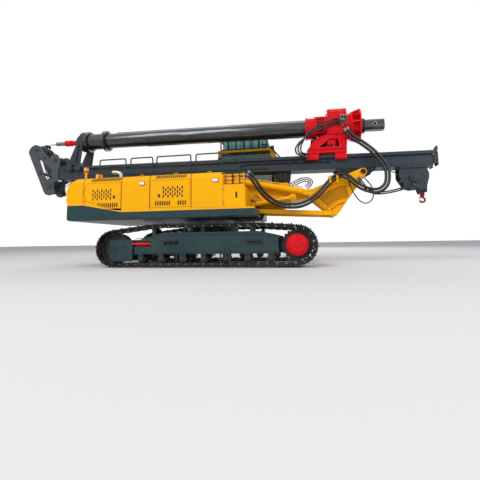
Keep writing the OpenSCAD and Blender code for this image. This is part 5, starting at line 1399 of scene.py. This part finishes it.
def sheave_details():
    """Holes in the sheaves' webs, drawn as discs of painted shadow, and their machined rims."""
    for node, at, r in (("head_sheave", HEAD_SHEAVE, 0.160), ("rear_sheaves", REAR_SHEAVES, 0.190),
                        ("rope_sheave", ROPE_SHEAVE, 0.105)):
        s = on_mast(node + "_fittings", node)
        for side in (-1, 1):
            # Six holes a side, drawn as dark discs of painted shadow.
            for k in range(6):
                a = 2 * math.pi * k / 6
                c, w = r * 0.66, r * 0.12
                p = (at[0] + math.cos(a) * c, side * 0.0185, at[1] + math.sin(a) * c)
                s.turned([(0, w), (0.0015, w)], p, (0, side, 0), painted_shadow, 18)
            s.turned([(-0.001, r - 0.004), (0.003, r - 0.004), (0.003, r - 0.020), (-0.001, r - 0.020)],
                     (at[0], side * 0.030, at[1]), (0, side, 0), machined, 48, True)
        s.made()


def winch_details():
    """Bolts, rims, top strip and tie bars of the winch's frame."""
    x0, z0 = WINCH
    w = on_mast("winch_fittings", "winch_frame")
    for side in (-1, 1):
        y = side * 0.170
        out = (0, side, 0)
        for x, z in ((0.60, 0.06), (0.72, 0.06), (0.84, 0.06), (0.96, 0.06), (1.07, 0.06), (0.62, -0.13),
                     (1.06, -0.10), (0.78, -0.355), (0.93, -0.335)):
            w.bolt((x, y, z), out, 0.011)
        w.turned([(-0.002, 0.125), (0.010, 0.125), (0.014, 0.119), (0.014, 0.108)], (x0, y, z0),
                 out, mast_grey, 48)
        w.turned([(-0.001, 0.046), (0.012, 0.046), (0.018, 0.036)], (HOOK[0], y, HOOK[1]), out, black, 28)
        w.plate([(0.554, 0.070), (1.110, 0.070), (1.110, 0.105), (0.554, 0.105)], y - side * 0.02,
                y + side * 0.035, mast_grey)
    for x, z in ((0.62, -0.19), (0.83, -0.36), (1.10, -0.20)):
        w.rod((x, -0.146, z), (x, 0.146, z), 0.016, mast_grey, 14)
    w.made(0.0015, 1)


def drum_details():
    """The winch drum's end covers and the rope wound on it."""
    x0, z0 = WINCH
    d = on_mast("winch_drum_fittings", "winch_drum")
    for side in (-1, 1):
        y = side * 0.210
        out = (0, side, 0)
        d.turned([(-0.002, 0.098), (0.008, 0.098), (0.014, 0.090), (0.014, 0.05), (0.020, 0.045),
                  (0.034, 0.040)], (x0, y, z0), out, cast, 40)
        d.bolt_ring((x0, y + side * 0.013, z0), out, 0.074, 10, 0.009, cast)
    turns, steps = 11, 22
    coil_r, width = 0.184, 0.180
    coils = []
    for i in range(turns * steps + 1):
        a = 2 * math.pi * i / steps
        coils.append(Vector((x0 + coil_r * math.cos(a), -0.090 + width * i / (turns * steps),
                             z0 + coil_r * math.sin(a))))
    d.tube(coils, 0.0085, rope_wire, 6, 0)
    d.made()


def hook_details():
    """The hook's collar, safety latch and pin."""
    k = on_mast("hook_fittings", "hook")
    k.turned([(0, 0.036), (0.030, 0.036), (0.034, 0.030)], (HOOK[0], 0, -0.495), (0, 0, -1), hook_red, 24)
    k.tube([(0.975, 0, -0.595), (0.968, 0, -0.560), (0.990, 0, -0.545), (1.010, 0, -0.560)], 0.006, zinc, 8)
    k.plate([(0.968, -0.600), (0.985, -0.545), (0.995, -0.548), (0.980, -0.603)], -0.012, 0.012, zinc)
    k.bolt((HOOK[0], -0.030, HOOK[1]), (0, -1, 0), 0.012)
    k.made(0.001, 1)


# Kelly bar and rotary drive

KELLY_R = 0.184
KEY_R = 0.1985


def key_band(f, x0, x1, x2, x3, turn):
    """A driving key rolled to the tube: wide at first, then stepping down to a narrow strip."""
    stations = [(x0, 30.0), (x1, 30.0), (x2, 2.0), (x3, 2.0)]
    steps = 8
    points = []
    for r in (KELLY_R, KEY_R):
        for x, top in stations:
            for j in range(steps + 1):
                a = math.radians(turn - (-17 + (top + 17) * j / steps))
                points.append(Vector((x, r * math.cos(a), KELLY_Z + r * math.sin(a))))
    n = steps + 1
    half = 4 * n
    faces = []
    for i in range(3):
        for j in range(steps):
            q = (i * n + j, i * n + j + 1, (i + 1) * n + j + 1, (i + 1) * n + j)
            faces += [q, tuple(half + k for k in reversed(q))]
        for j in (0, steps):
            faces.append((i * n + j, (i + 1) * n + j, half + (i + 1) * n + j, half + i * n + j))
    for i in (0, 3):
        for j in range(steps):
            faces.append((i * n + j, i * n + j + 1, half + i * n + j + 1, half + i * n + j))
    f._add(points, faces, tube_steel)


def kelly_details():
    """Driving keys and collars of the kelly bar's outer tube."""
    f = on_mast("kelly_keys", "kelly_outer")
    spans = ((-5.412, -4.600, -4.350, -3.860), (-3.824, -3.245, -3.002, -2.304),
             (-2.263, -1.560, -1.530, -1.480))
    for turn in (180, 300, 60):
        for x0, x1, x2, x3 in spans:
            key_band(f, x0, x1, x2, x3, turn)
    for x in (-6.44, -3.80, -1.62):
        f.turned([(-0.006, 0.1882), (-0.004, 0.1915), (0.004, 0.1915), (0.006, 0.1882)], (x, 0, KELLY_Z),
                 (1, 0, 0), tube_steel, 64)
    for x, r in ((-7.060, 0.268), (-6.565, 0.268)):
        for d in (-0.001, 0.061):
            f.turned([(-0.004, r - 0.030), (0.004, r - 0.030)], (x + d, 0, KELLY_Z), (1, 0, 0), cast, 56)
        f.bolt_ring((x + 0.061, 0, KELLY_Z), (1, 0, 0), r - 0.045, 12, 0.010, cast)
    f.turned([(0, 0.205), (0.435, 0.205)], (-7.000, 0, KELLY_Z), (1, 0, 0), tube_steel, 64)
    f.made(0.001, 1)


def stub_details():
    """Spring plates, pin holes and machined end of the kelly bar's square stub."""
    c = on_mast("kelly_spring", "kelly_core")
    for i in range(4):
        c.turned([(-0.004, 0.150), (-0.004, 0.166), (0.0, 0.176), (0.004, 0.166), (0.004, 0.150)],
                 (-0.182 + i * 0.020, 0, KELLY_Z), (1, 0, 0), black, 56)
    c.turned([(0, 0.158), (0.010, 0.158)], (-0.118, 0, KELLY_Z), (1, 0, 0), cast, 56)
    for side in (-1, 1):
        c.turned([(-0.001, 0.044), (0.004, 0.044), (0.006, 0.040), (0.006, 0.0305), (-0.001, 0.0305)],
                 (0.105, side * 0.120, KELLY_Z), (0, side, 0), machined, 32)
    c.prism([(0.309, -0.10, KELLY_Z - 0.10), (0.309, 0.10, KELLY_Z - 0.10), (0.309, 0.10, KELLY_Z + 0.10),
             (0.309, -0.10, KELLY_Z + 0.10)], (0.003, 0, 0), machined)
    c.made(0.001, 1)


def swivel_details():
    """The rope swivel's cap, rings and bolts, and the stack of rings behind it."""
    s = on_mast("swivel_fittings", "swivel")
    s.turned([(0.0, 0.0775), (0.060, 0.0775), (0.070, 0.060)], (-7.688, 0, KELLY_Z), (-1, 0, 0), red, 40)
    for d in (0.0, 0.19, 0.20, 0.325):
        s.turned([(0, 0.079 if d > 0.1 else 0.072), (0.010, 0.079 if d > 0.1 else 0.072)],
                 (-7.370 - d, 0, KELLY_Z), (-1, 0, 0), red, 40)
    s.bolt_ring((-7.757, 0, KELLY_Z), (-1, 0, 0), 0.050, 6, 0.007)
    for i in range(8):
        s.turned([(0, 0.030), (0.006, 0.052), (0.026, 0.052), (0.034, 0.030)],
                 (-7.752 - i * 0.035, 0, KELLY_Z), (-1, 0, 0), zinc, 24)
    s.made(0.001, 1)


def guide_details():
    """Ribs and bolts of the kelly guide."""
    g = on_mast("kelly_guide_fittings", "kelly_guide")
    z0 = 0.420
    for side in (-1, 1):
        y = side * 0.262
        out = (0, side, 0)
        g.plate([(-7.43, z0 + 0.09), (-7.15, z0 + 0.09), (-7.15, z0 + 0.105), (-7.43, z0 + 0.105)],
                y - side * 0.002, y + side * 0.05, mast_grey)
        g.plate([(-7.245, z0 + 0.10), (-7.225, z0 + 0.10), (-7.150, 0.98), (-7.170, 0.98)],
                y - side * 0.002, y + side * 0.035, mast_grey)
        for x, z in ((-7.40, 0.545), (-7.28, 0.545), (-7.18, 0.545), (-7.17, 1.05), (-7.10, 1.05)):
            g.bolt((x, y, z), out, 0.011, cast)
        for x in (-7.45, -7.36, -7.20, -7.11):
            g.bolt((x, side * 0.275, z0 + 0.0), out, 0.010, cast)
    for k in range(16):
        a = 2 * math.pi * (k + 0.5) / 16
        g.bolt((-7.190, 0.240 * math.cos(a), KELLY_Z + 0.240 * math.sin(a)), (-1, 0, 0), 0.008, cast)
    g.made(0.0012, 1)


def gearbox_details():
    """Ribs, bolts, covers, breather and hose unions of the rotary drive's gearbox."""
    f = on_mast("gearbox_fittings", "gearbox")
    x0, x1 = -0.960, -0.540
    section = [(-0.330, -0.250), (-0.400, -0.120), (-0.400, 0.230), (-0.330, 0.318), (0.330, 0.318),
               (0.400, 0.230), (0.400, -0.120), (0.330, -0.250)]
    for x in (x0 + 0.045, x1 - 0.045, (x0 + x1) / 2):
        for a, b in zip(section, section[1:] + section[:1]):
            band = [(y * k, z * k) for (y, z), k in ((a, 1.02), (b, 1.02), (b, 0.97), (a, 0.97))]
            f.prism([(x - 0.012, y, KELLY_Z + z) for y, z in band], (0.024, 0, 0), red)
    for x in (x0, x1):
        axis = (-1 if x == x0 else 1, 0, 0)
        f.bolt_ring((x, 0, KELLY_Z), axis, 0.300, 20, 0.010)
        for y in (-0.36, 0.36):
            for z in (-0.08, 0.06, 0.19):
                f.bolt((x, y, KELLY_Z + z), axis, 0.012)
    for side in (-1, 1):
        for x in (-0.86, -0.64):
            for z in (-0.06, 0.17):
                f.bolt((x, side * 0.405, KELLY_Z + z), (0, side, 0), 0.011)
        f.block((-0.85, side * 0.405 - 0.012, KELLY_Z - 0.02),
                (-0.70, side * 0.405 + 0.012, KELLY_Z + 0.13), red)
        # A dark disc of painted shadow standing for the port in each side cover.
        f.turned([(-0.002, 0.028), (0.016, 0.028), (0.020, 0.022)], (-0.775, side * 0.417, KELLY_Z + 0.055),
                 (0, side, 0), painted_shadow, 24)
    for x, y in ((-0.80, -0.20), (-0.62, 0.18), (-0.64, -0.16)):
        f.turned([(-0.002, 0.048), (0.020, 0.048), (0.026, 0.040)], (x, y, KELLY_Z + 0.318),
                 (0, 0, 1), red, 32)
        f.bolt((x, y, KELLY_Z + 0.340), (0, 0, 1), 0.014)
    f.tube([(-0.70, 0.05, KELLY_Z + 0.318), (-0.70, 0.05, KELLY_Z + 0.36), (-0.66, 0.05, KELLY_Z + 0.375)],
           0.014, black, 8)
    for dx, z in ((0.0, 0.075), (0.055, 0.075), (0.110, 0.075), (0.0, -0.005), (0.055, -0.005)):
        x, y, z = -0.675 + dx, -0.470, KELLY_Z + z
        f.turned([(-0.004, 0.024), (0.022, 0.024), (0.026, 0.020)], (x, y, z), (0, -1, 0), zinc, 6)
        f.tube([(x, y - 0.02, z), (x, y - 0.055, z + 0.004), (x - 0.020, y - 0.068, z + 0.03)],
               0.016, zinc, 10)
    f.block((-0.70, -0.482, KELLY_Z - 0.06), (-0.55, -0.468, KELLY_Z + 0.10), cast)
    f.made(0.0018, 1)


def sledge_details():
    """Ribs and bolts of the sledge that carries the drive along the mast."""
    s = on_mast("sledge_fittings", "sledge")
    for side in (-1, 1):
        y = side * 0.305
        out = (0, side, 0)
        for x in (-1.36, -1.27, -1.20, -0.76, -0.68, -0.60):
            for z in (0.47, 0.335):
                s.bolt((x, side * 0.3145, z), out, 0.011, red)
        for x in (-1.33, -1.18, -1.00, -0.82, -0.64):
            s.plate([(x - 0.010, 0.528), (x + 0.010, 0.528), (x + 0.010, 0.62), (x - 0.010, 0.60)],
                    y - side * 0.002, y + side * 0.030, red)
        s.plate([(-1.40, 0.5275), (-0.545, 0.5275), (-0.545, 0.545), (-1.40, 0.545)], y - side * 0.002,
                y + side * 0.040, red)
        s.plate([(-1.275, 0.735), (-0.960, 0.885), (-0.965, 0.860), (-1.262, 0.715)], y - side * 0.002,
                y + side * 0.020, red)
        s.bolt((-0.93, y, 0.83), out, 0.014)
        s.bolt((-0.60, y, 0.83), out, 0.014)
        s.block((-0.66, y - 0.003, 0.56), (-0.585, y + 0.003, 0.84), red)
    s.made(0.0015, 1)


def drive_cage():
    """The ring of bars round the drive sleeve, with the slots between them drawn as strips of painted shadow,
    and its bolted flanges.
    """
    c = on_mast("drive_cage", "drive_sleeve")
    for k in range(18):
        a = 2 * math.pi * k / 18
        u = Vector((0, math.cos(a), math.sin(a)))
        v = Vector((0, -math.sin(a), math.cos(a)))
        p = Vector((-1.185, 0, KELLY_Z)) + u * 0.244
        c.prism([p - v * 0.010, p + v * 0.010, p + v * 0.010 + u * 0.030, p - v * 0.010 + u * 0.030],
                (0.180, 0, 0), red)
        # A strip of painted shadow in the slot between two bars.
        w = Vector((0, math.cos(a + math.pi / 18), math.sin(a + math.pi / 18)))
        t = Vector((0, -math.sin(a + math.pi / 18), math.cos(a + math.pi / 18)))
        q = Vector((-1.165, 0, KELLY_Z)) + w * 0.2440
        c.prism([q - t * 0.022, q + t * 0.022, q + t * 0.022 + w * 0.0035, q - t * 0.022 + w * 0.0035],
                (0.140, 0, 0), painted_shadow)
    for x, r, n in ((-1.225, 0.262, 18), (-0.440, 0.318, 24), (-0.534, 0.280, 18)):
        c.bolt_ring((x, 0, KELLY_Z), (-1 if x != -0.440 else 1, 0, 0), r, n, 0.008)
    c.bolt_ring((-0.405, 0, KELLY_Z), (1, 0, 0), 0.318, 24, 0.010)
    for x in (-1.39, -1.31):
        c.turned([(-0.006, 0.246), (-0.004, 0.252), (0.004, 0.252), (0.006, 0.246)], (x, 0, KELLY_Z),
                 (1, 0, 0), red, 64, True)
    c.turned([(-0.001, 0.396), (0.002, 0.396), (0.002, 0.372), (-0.001, 0.372)], (-0.225, 0, KELLY_Z),
             (1, 0, 0), machined, 72, True)
    c.made(0.0012, 1)


def motor_details():
    """Bolts, bands and port blocks of the two drive motors."""
    m = on_mast("motor_fittings", "drive_motors")
    for y in (-0.140, 0.140):
        z = KELLY_Z - 0.365
        m.bolt_ring((-1.262, y, z), (-1, 0, 0), 0.066, 8, 0.008)
        for x in (-1.10, -1.02):
            m.turned([(-0.006, 0.080), (-0.004, 0.086), (0.004, 0.086), (0.006, 0.080)], (x, y, z),
                     (1, 0, 0), black, 40)
        m.block((-1.20, y - 0.045, z + 0.060), (-1.05, y + 0.045, z + 0.108), black)
        for x in (-1.165, -1.085):
            m.turned([(0, 0.020), (0.030, 0.020)], (x, y - 0.040, z + 0.085), (0, -1, 0), zinc, 6)
    m.made(0.0015, 1)


# Ropes and hoses

def round_sheave(at, r, first, last, step):
    """Points of a rope on a sheave, from one angle in degrees towards another."""
    angles = [math.radians(a) for a in range(first, last, step)]
    return [(at[0] + r * math.cos(a), 0.0, at[1] + r * math.sin(a)) for a in angles]


def main_rope():
    """The main rope where it shows: at the winch, round the head's sheaves and down to the kelly guide."""
    f = on_mast("main_rope_in_head", "mast_head")
    top = round_sheave(HEAD_SHEAVE, 0.140, 150, 88, -6)
    down = round_sheave(REAR_SHEAVES, 0.170, 165, 292, 7)
    f.tube(down, ROPE_R, rope_wire, 8, 0)
    f.tube(top, ROPE_R, rope_wire, 8, 0)
    f.rod(top[0], down[0], ROPE_R, rope_wire, 8)
    f.rod(down[-1], (-7.46, 0, 0.099), ROPE_R, rope_wire, 8)
    f.made()
    g = on_mast("main_rope_low", "mast_beam")
    g.rod((0.300, 0, 0.101), (0.560, 0, -0.020), ROPE_R, rope_wire, 8)
    g.rod((0.560, 0, -0.020), (0.735, 0, -0.290), ROPE_R, rope_wire, 8)
    g.block((0.25, -0.045, 0.085), (0.36, 0.045, 0.1005), black)
    g.block((-7.52, -0.045, 0.085), (-7.40, 0.045, 0.1005), black)
    g.made()
    start, end = Vector((HEAD_SHEAVE[0], 0, 1.070)), Vector((-8.030, 0, KELLY_Z))
    n = 24
    r = Form("rope_to_guide", None, MAST)
    r.tube([start + (end - start) * i / n for i in range(n + 1)], ROPE_R, rope_wire, 8, 0)
    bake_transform(r.made())


def hose(name, route, r, bodies=None, body=None, fittings=(True, True), clamps=(), replaces=()):
    """A rubber hose with crimped ends, held by one body, or baked in place with no body where it runs between
    two.
    """
    f = Form(name, body)
    line = smooth_line(route, 8)
    f._sweep(line, r, hose_black, 12)
    for end, (p, q) in enumerate(((line[0], line[1]), (line[-1], line[-2]))):
        if fittings[end]:
            axis = q - p
            f.turned([(0, r * 0.75), (0.006, r * 0.9), (0.010, r * 1.22), (0.062, r * 1.22),
                      (0.068, r * 1.05)], p, axis, zinc, 18)
    for share in clamps:
        i = int(share * (len(line) - 2))
        axis = line[i + 1] - line[i]
        f.turned([(-0.012, r * 1.02), (-0.012, r * 1.2), (0.012, r * 1.2), (0.012, r * 1.02)], line[i],
                 axis, black, 16)
    piece = f.made(slot=slot_of_node["body_hoses"], replaces=replaces)
    if bodies:
        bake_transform(piece)
    return piece


def offset(route, d, dy=0.0):
    """A line beside a route, in the side view and across it."""
    p = [Vector(q) for q in route]
    out = []
    for i, q in enumerate(p):
        t = p[min(i + 1, len(p) - 1)] - p[max(i - 1, 0)]
        n = Vector((t.z, 0, -t.x)).normalized()
        out.append(q + n * d + Vector((0, dy, 0)))
    return out


def pressure_hoses():
    """The two thick hoses: hood to boom, boom to triangle frame, on to the mast and up to the drive."""
    boom, tri = body_of_node["boom"], body_of_node["triangle_frame"]
    mast, drive = body_of_node["mast_beam"], body_of_node["gearbox"]
    first = [(0.985, -1.100, 1.885), (1.050, -1.090, 1.845), (1.130, -1.040, 1.730), (1.240, -0.950, 1.560),
             (1.370, -0.820, 1.410), (1.530, -0.680, 1.300), (1.720, -0.580, 1.240), (1.900, -0.530, 1.225)]
    second = [(1.900, -0.530, 1.225), (2.070, -0.500, 1.240), (2.280, -0.475, 1.320),
              (2.480, -0.462, 1.465), (2.630, -0.460, 1.620), (2.735, -0.460, 1.735),
              (2.800, -0.460, 1.800)]
    third = [(2.800, -0.460, 1.800), (2.920, -0.460, 1.860), (3.060, -0.462, 1.830), (3.180, -0.468, 1.730),
             (3.300, -0.475, 1.620), (3.430, -0.480, 1.545), (3.560, -0.480, 1.500)]
    fourth = [(3.560, -0.480, 1.500), (3.700, -0.480, 1.500), (3.830, -0.480, 1.570),
              (3.915, -0.480, 1.710), (3.925, -0.480, 1.960), (3.830, -0.478, 2.180),
              (3.640, -0.474, 2.420), (3.430, -0.470, 2.610), (3.260, -0.462, 2.750),
              (3.165, -0.456, 2.860), (3.130, -0.470, 2.950)]
    for k, d in enumerate((0.0, -0.068)):
        hose("hose_to_boom_%d" % k, offset(first, d), PRESSURE_HOSE_R, ("upper", boom),
             fittings=(True, False), clamps=(0.97,), replaces=("body_hoses",))
        hose("hose_to_triangle_%d" % k, offset(second, d), PRESSURE_HOSE_R, (boom, tri),
             fittings=(False, False))
        hose("hose_to_mast_%d" % k, offset(third, d), PRESSURE_HOSE_R, (tri, mast), fittings=(False, False),
             replaces=("mast_hoses",))
        hose("hose_to_drive_%d" % k, offset(fourth, d), PRESSURE_HOSE_R, (mast, drive),
             fittings=(False, True))


def drive_loops():
    """Three hoses that hang in a bow under the gearbox and move with it."""
    for k in range(3):
        y = -0.420 - 0.028 * k
        d = 0.055 * k
        loop = [(3.085, y, 2.990 + d), (2.920, y, 3.045 + d), (2.740, y, 3.000 + d), (2.520, y, 2.930 + d),
                (2.310, y, 2.830 + d * 0.5), (2.130 + d * 0.6, y, 2.710), (2.020 + d, y + 0.01, 2.570),
                (2.040 + d, y + 0.04, 2.450), (2.180 + d, y + 0.07, 2.385 + d * 0.3),
                (2.280, -0.330, 2.395 + d * 0.4)]
        hose("drive_loop_%d" % k, loop, LOOP_HOSE_R, body=body_of_node["gearbox"], clamps=(0.3, 0.6))


def thin_hoses():
    """The thin hoses: at the mast's pivot, to the winch, at the boom's end and at the lift cylinders."""
    mast, boom = body_of_node["mast_beam"], body_of_node["boom"]
    low = [(3.100, -0.430, 1.900), (3.120, -0.440, 1.740), (3.190, -0.445, 1.530), (3.300, -0.445, 1.350),
           (3.430, -0.440, 1.275), (3.560, -0.430, 1.340), (3.610, -0.410, 1.500), (3.560, -0.380, 1.680),
           (3.430, -0.350, 1.860)]
    hose("thin_low_loop", low, THIN_HOSE_R, (body_of_node["triangle_frame"], mast))
    winch = [(3.620, -0.460, 1.500), (3.800, -0.460, 1.500), (4.020, -0.455, 1.535), (4.220, -0.420, 1.590),
             (4.400, -0.300, 1.650), (4.480, -0.195, 1.700)]
    for k in range(2):
        hose("winch_hose_%d" % k, offset(winch, 0.036 * k, 0.01 * k), WINCH_HOSE_R, body=mast,
             fittings=(False, True), clamps=(0.15, 0.55))
    feed = [(3.330, -0.300, 1.905), (3.390, -0.400, 1.760), (3.490, -0.450, 1.590), (3.620, -0.460, 1.500)]
    for k in range(2):
        hose("winch_feed_%d" % k, offset(feed, 0.036 * k, 0.01 * k), WINCH_HOSE_R, body=mast,
             fittings=(True, False))
    bundle = [(1.800, -0.255, 1.740), (1.883, -0.262, 1.799), (2.016, -0.270, 1.860),
              (2.147, -0.270, 1.908), (2.294, -0.270, 1.894), (2.363, -0.268, 1.807),
              (2.305, -0.262, 1.705), (2.235, -0.255, 1.660)]
    for k in range(3):
        hose("fold_hose_%d" % k, offset(bundle, 0.042 * k), THIN_HOSE_R, body=boom)
    for side in (-1, 1):
        lift = [(1.020, side * 0.300, 1.560), (1.120, side * 0.310, 1.520), (1.180, side * 0.330, 1.460),
                (1.210, side * 0.360, 1.410)]
        hose("lift_hose_" + hand(side), lift, THIN_HOSE_R, ("upper", body_of_node["lift_barrels"]))


# Floor, lamps and the whole picture

def floor_and_light():
    """A pale floor and backdrop, three lamps and an even world."""
    p = Paint("pale_floor")
    shadow_side = p.node("ShaderNodeBsdfDiffuse", {}, {"Color": (0.80, 0.80, 0.79)})
    p.node("ShaderNodeOutputMaterial", {}, {"Surface": shadow_side})
    mesh = bpy.data.meshes.new("floor")
    half = 60.0
    mesh.from_pydata([(-half, -half, 0), (half, -half, 0), (half, half, 0), (-half, half, 0)],
                     [], [(0, 1, 2, 3)])
    mesh.materials.append(p.material)
    ground = bpy.data.objects.new("floor", mesh)
    bpy.context.scene.collection.objects.link(ground)
    for name, at, size, power, aim in (("key", (-6, -13, 13), 9, 1500, (0, 0, 1.6)),
                                       ("fill", (11, -9, 7), 8, 550, (1, 0, 1.6)),
                                       ("back", (2, 13, 10), 10, 700, (0, 0, 2))):
        lamp = bpy.data.lights.new(name, "AREA")
        lamp.energy = power
        lamp.size = size
        o = bpy.data.objects.new(name, lamp)
        o.location = at
        o.rotation_euler = (Vector(aim) - Vector(at)).to_track_quat("-Z", "Y").to_euler()
        bpy.context.scene.collection.objects.link(o)
    world = bpy.data.worlds.new("studio")
    bpy.context.scene.world = world
    world.use_nodes = True
    tree = world.node_tree
    tree.nodes.clear()
    path = tree.nodes.new("ShaderNodeLightPath")
    plain = tree.nodes.new("ShaderNodeBackground")
    plain.inputs["Color"].default_value = (0.80, 0.83, 0.87, 1)
    plain.inputs["Strength"].default_value = 0.55
    seen = tree.nodes.new("ShaderNodeBackground")
    seen.inputs["Color"].default_value = (1, 1, 1, 1)
    seen.inputs["Strength"].default_value = 1.0
    mix = tree.nodes.new("ShaderNodeMixShader")
    share = path.outputs["Is Camera Ray"]
    for kind in ("Is Glossy Ray", "Is Transmission Ray"):
        most = tree.nodes.new("ShaderNodeMath")
        most.operation = "MAXIMUM"
        tree.links.new(share, most.inputs[0])
        tree.links.new(path.outputs[kind], most.inputs[1])
        share = most.outputs[0]
    tree.links.new(share, mix.inputs[0])
    tree.links.new(plain.outputs[0], mix.inputs[1])
    tree.links.new(seen.outputs[0], mix.inputs[2])
    out = tree.nodes.new("ShaderNodeOutputWorld")
    tree.links.new(mix.outputs[0], out.inputs[0])


camera()
floor_and_light()
bpy.context.scene.view_settings.view_transform = "Standard"
LOOKS = {"car_body": (teal, 0.008), "slew_ring": (machined, 0.003), "track_frames": (teal, 0.008),
         "idler_yokes": (teal, 0.01), "idlers": (cast, 0.006), "sprockets": (cast, 0.003),
         "rollers": (cast, 0.005), "tension_rods": (red, 0.003), "drive_covers": (red, 0.012),
         "upper_frame": (deck_paint, 0.006), "counterweight": (deck_paint, 0.03), "engine": (cast, 0.02),
         "side_tank": (yellow, 0.008), "cab_shell": (yellow, 0.006), "cab_door": (yellow, 0.003),
         "cab_seat": (vinyl, 0.02), "roof_guard": (rail_green, 0.003), "hard_pipes": (yellow, 0.002),
         "mast_rest": (black, 0.006), "boom": (yellow, 0.008), "links": (yellow, 0.006),
         "lift_barrels": (yellow, 0.003), "lift_rods": (chrome, 0.002), "triangle_frame": (yellow, 0.006),
         "fold_barrels": (yellow, 0.003), "fold_rods": (chrome, 0.002), "mast_beam": (mast_grey, 0.006),
         "guide_rails": (mast_grey, 0.004), "mast_bracket": (black, 0.004), "mast_head": (head_grey, 0.004),
         "head_sheave": (cast, 0.003), "rear_sheaves": (cast, 0.003), "rope_sheave": (cast, 0.003),
         "winch_frame": (mast_grey, 0.004), "winch_drum": (cast, 0.004), "hook": (hook_red, 0.005),
         "kelly_guide": (mast_grey, 0.005), "kelly_outer": (tube_steel, 0.003),
         "kelly_middle": (tube_steel, 0.003), "kelly_core": (tube_steel, 0.003), "swivel": (red, 0.004),
         "sledge": (red, 0.006), "gearbox": (red, 0.012), "drive_motors": (black, 0.004),
         "drive_sleeve": (red, 0.004),}
PANE_OF_DOOR = (pane, 1.2195, 1.2265)
for name, (finish, edge) in LOOKS.items():
    dressed(name, finish, edge, sheet=PANE_OF_DOOR if name == "cab_door" else None)
repainted("cab_glass", pane)
for make in (undercarriage_details, hood, hood_details, counterweight_details, side_boxes, railings,
             beacon_and_exhaust, pipe_fittings, window_seals, cab_details, cab_door_details, cab_controls,
             roof_guard_details, cylinder_details, boom_details, link_details, triangle_details, mast_details,
             head_details, sheave_details, winch_details, drum_details, hook_details, kelly_details,
             stub_details, swivel_details, guide_details, gearbox_details, sledge_details, drive_cage,
             motor_details, main_rope, pressure_hoses, drive_loops, thin_hoses):
    make()
